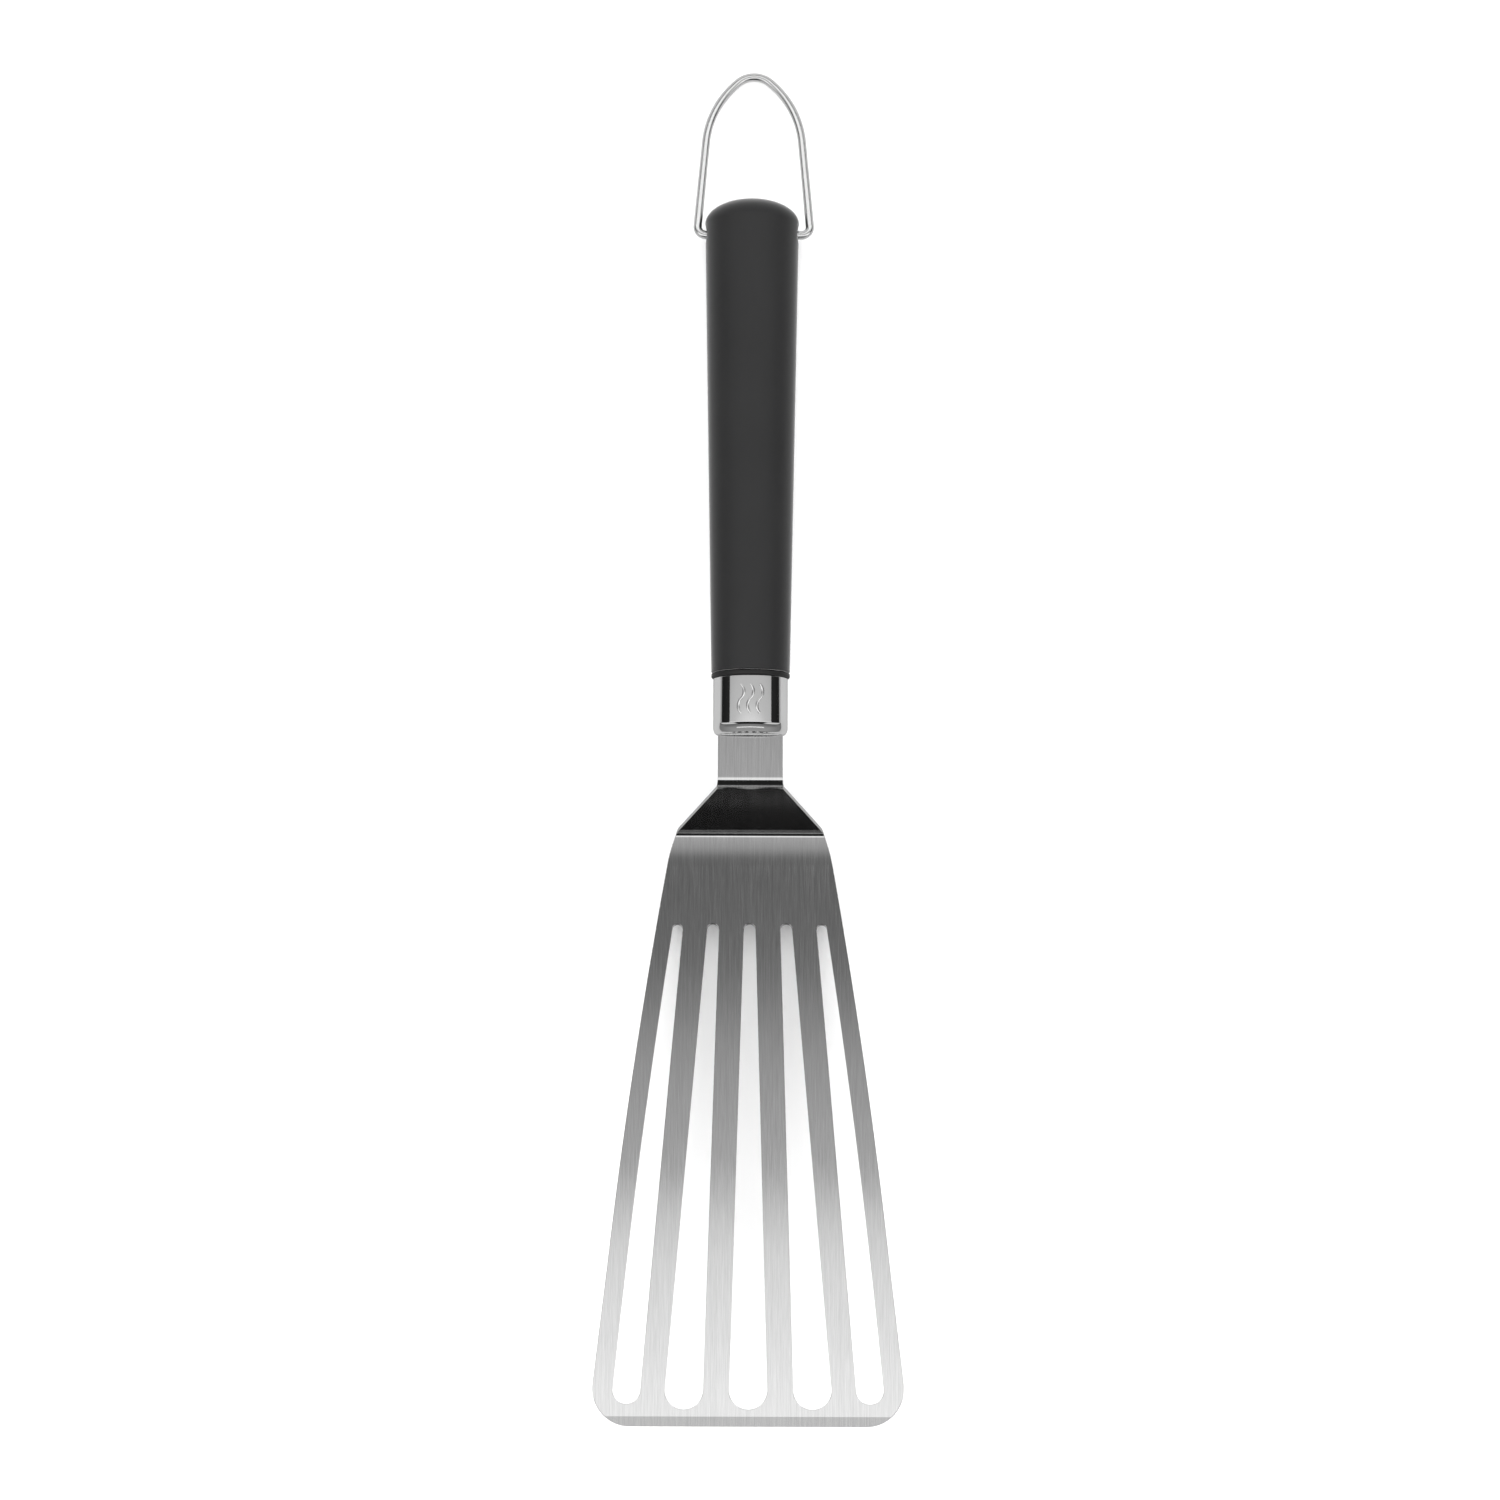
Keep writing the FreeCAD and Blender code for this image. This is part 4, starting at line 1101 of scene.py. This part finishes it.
# ---------------------------------------------------------------- studio
@dataclass
class Studio:
    """Pale floor, overhead panel, low strip, dim walls with two glowing corners, and a camera straight above.

    A fill lights everything that is not polished. Places are in metres.
    """

    height: float = 1.0
    view_width: float = 0.47475
    centre: Point = (-0.0001, -0.00532)
    roll: float = 0.2
    floor_reach: float = 3.0
    floor_low: float = -0.0006
    table_low: float = -0.0002
    beyond: Colour = (0.9, 0.9, 0.9)    # what the camera sees past the floor
    paper: StudioPaper = StudioPaper((0.96, 0.96, 0.96))
    table: StudioPaper = StudioPaper((0.34, 0.34, 0.34))
    panel_height: float = 0.5
    panel_reach: float = 0.66
    panel_span: Point = (-0.215, 0.62)
    # brightness of the panel by its place along Y, in metres
    panel_glow: tuple[Point, ...] = ((-0.215, 0.0), (-0.165, 0.0), (-0.13, 1.32), (-0.0245, 1.32),
                                     (0.009, 1.17), (0.043, 1.08), (0.068, 0.89), (0.0885, 0.55), (0.108, 0.53),
                                     (0.13, 0.48), (0.147, 0.45), (0.174, 0.32), (0.2, 0.2), (0.27, 0.14),
                                     (0.3, 0.75), (0.4, 0.95), (0.62, 1.3))
    # brightness of the walls by their lean from the zenith towards +Y, in degrees
    walls: tuple[Point, ...] = ((-90, 0.4), (-72, 0.3), (-62, 0.02), (52, 0.02), (62, 0.6), (90, 0.8))
    # share of it left at a lean to either side, in degrees
    sides: tuple[Point, ...] = ((0, 1.0), (60, 1.0), (90, 0.5))
    # brightness added in the two far corners: by the lean towards +Y, and the share of it by the lean to a side
    corner_glow: tuple[Point, ...] = ((-90, 0.0), (-64, 0.0), (-56, 0.7), (-34, 0.7), (-27, 0.0), (90, 0.0))
    corner_share: tuple[Point, ...] = ((0, 0.0), (34, 0.0), (44, 1.0), (90, 1.0))
    strip_size: Point = (0.14, 0.024)
    strip_place: Point = (-0.2037, 0.1)
    strip_glow: float = 0.8
    fill_size: float = 5.0
    fill_height: float = 2.2
    fill_watts: float = 172.0

    @staticmethod
    def lamp(name: str, size: Point, spot: tuple[float, float, float], watts: float) -> bpy.types.Object:
        """An area lamp that shines down and that the camera does not see."""
        data = bpy.data.lights.new(name, "AREA")
        data.shape = "RECTANGLE"
        data.size, data.size_y = size
        data.energy = watts
        made = bpy.data.objects.new(name, data)
        made.location = spot
        made.visible_camera = False
        bpy.context.scene.collection.objects.link(made)
        return made

    @staticmethod
    def even_watts(size: Point) -> float:
        """The power at which an area lamp of this size shines with a brightness of one."""
        return math.pi * size[0] * size[1]

    def panel(self) -> None:
        """A wide soft panel overhead, dimmer towards its +Y side."""
        low, high = self.panel_span
        size = (2 * self.panel_reach, high - low)
        data = self.lamp("panel", size, (0.0, (low + high) / 2, self.panel_height), self.even_watts(size)).data
        data.use_nodes = True
        data.node_tree.nodes.clear()
        graph = Graph(data.node_tree)
        spot = graph.node("ShaderNodeNewGeometry", {}, {}, "Position")
        along = Sock(graph, graph.node("ShaderNodeSeparateXYZ", {}, {"Vector": spot}).socket.node.outputs[1])
        glow = self.by_place(graph, along, self.panel_span, self.panel_glow)
        shine = graph.node("ShaderNodeEmission", {}, {"Strength": glow})
        graph.node("ShaderNodeOutputLight", {}, {"Surface": shine})

    def strip(self) -> None:
        """A low strip over the tip that lights up the bevel."""
        watts = self.strip_glow * self.even_watts(self.strip_size)
        self.lamp("strip", self.strip_size, (0.0, *self.strip_place), watts)

    def fill(self) -> None:
        """A broad soft light over everything that polished surfaces do not show."""
        made = self.lamp("fill", (self.fill_size, self.fill_size), (0.0, 0.0, self.fill_height), self.fill_watts)
        made.visible_glossy = False

    @staticmethod
    def by_place(graph: Graph, place_at: Sock, span: Point, stops: tuple[Point, ...]) -> Sock:
        """Brightness read off stops.

        Args:
            graph: the graph to work in.
            place_at: where to read.
            span: the lowest and highest place.
            stops: (place, brightness) pairs in order.

        Returns:
            The brightness.
        """
        low, high = span
        share = (place_at - low) / (high - low)
        greys = [((spot - low) / (high - low), (value / BRIGHTEST,) * 3) for spot, value in stops]
        return graph.node("ShaderNodeValToRGB", {"stops": greys}, {"Fac": share}, "Color") * BRIGHTEST

    def world(self) -> None:
        """Pale where the camera looks past the floor, else the studio's sky."""
        world = bpy.data.worlds.new("studio")
        world.use_nodes = True
        world.node_tree.nodes.clear()
        graph = Graph(world.node_tree)
        heading = graph.node("ShaderNodeTexCoord", {}, {}, "Generated")
        apart = graph.node("ShaderNodeSeparateXYZ", {}, {"Vector": heading}).socket.node.outputs
        x, y, z = (Sock(graph, socket) for socket in apart)
        forward = graph.node("ShaderNodeMath", {"operation": "ARCTAN2"}, {0: y, 1: z})
        sideways = graph.node("ShaderNodeMath", {"operation": "ABSOLUTE"}, {0: x})
        sideways = graph.node("ShaderNodeMath", {"operation": "ARCTAN2"}, {0: sideways, 1: z})
        degree = math.degrees(1.0)
        glow = self.by_place(graph, forward * degree, (-90, 90), self.walls)
        glow = glow * self.by_place(graph, sideways * degree, (0, 90), self.sides)
        corner = self.by_place(graph, forward * degree, (-90, 90), self.corner_glow)
        glow = glow + corner * self.by_place(graph, sideways * degree, (0, 90), self.corner_share)
        seen = graph.node("ShaderNodeLightPath", {}, {}, "Is Camera Ray")
        sky = graph.node("ShaderNodeBackground", {}, {"Color": (1.0, 1.0, 1.0, 1.0), "Strength": glow})
        pale = graph.node("ShaderNodeBackground", {}, {"Color": (*self.beyond, 1.0)})
        both = graph.node("ShaderNodeMixShader", {}, {0: seen, 1: sky, 2: pale})
        graph.node("ShaderNodeOutputWorld", {}, {"Surface": both})
        bpy.context.scene.world = world

    def floor(self) -> None:
        """A wide pale floor, and just over it the dimmer table that polished surfaces show instead."""
        for name, paper, low in (("floor", self.paper, self.floor_low), ("table", self.table, self.table_low)):
            reach = self.floor_reach
            mesh = bpy.data.meshes.new(name)
            rim = [(-reach, -reach, low), (reach, -reach, low), (reach, reach, low), (-reach, reach, low)]
            mesh.from_pydata(rim, [], [(0, 1, 2, 3)])
            mesh.materials.append(paper.material())
            made = bpy.data.objects.new(name, mesh)
            shown = paper is self.paper
            made.visible_camera = made.visible_diffuse = made.visible_shadow = made.visible_transmission = shown
            made.visible_glossy = not shown
            bpy.context.scene.collection.objects.link(made)

    def camera(self) -> None:
        """Looks straight down with the handle up in the frame."""
        data = bpy.data.cameras.new("camera")
        data.sensor_width = 36.0
        data.lens = data.sensor_width * self.height / self.view_width
        data.clip_start, data.clip_end = 0.05, 20.0
        made = bpy.data.objects.new("camera", data)
        made.location = (*self.centre, self.height)
        made.rotation_euler = (0.0, 0.0, math.radians(self.roll))
        bpy.context.scene.collection.objects.link(made)
        bpy.context.scene.camera = made

    def build(self) -> None:
        """Sets the whole studio."""
        bpy.context.scene.view_settings.view_transform = "Standard"
        self.floor()
        self.panel()
        self.strip()
        self.fill()
        self.world()
        self.camera()


@dataclass
class Spatula:
    """The whole object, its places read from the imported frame."""

    frame: dict
    handle_pitch: float = -6.9
    pivot_run: float = 171.0

    def pivot(self) -> Vector:
        """The hang loop's hinge, in millimetres."""
        return Vector(self.frame["joints"][0]["pos_m"]) / MM

    def handle(self) -> Bearing:
        """The handle frame, walked back along the handle from the loop's pivot."""
        pivot = self.pivot()
        neck = Bearing(pivot.y, pivot.z, self.handle_pitch).point(0, -self.pivot_run, 0)
        return Bearing(neck.y, neck.z, self.handle_pitch)

    def build(self) -> None:
        """Builds every sub-assembly in order."""
        handle = self.handle()
        Blade(handle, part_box("blade")).build()
        Ferrule(handle).build()
        Grip(handle).build()
        HangLoop(self.pivot()).build()
        HandleCore(self.frame["nodes"]).dress()


def main() -> None:
    """Builds the spatula round its frame, then the studio."""
    logging.basicConfig(level=logging.INFO, format="%(name)s %(message)s")
    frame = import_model()
    Spatula(frame).build()
    Studio().build()
    bpy.context.view_layer.update()


if __name__ == "__main__":
    main()
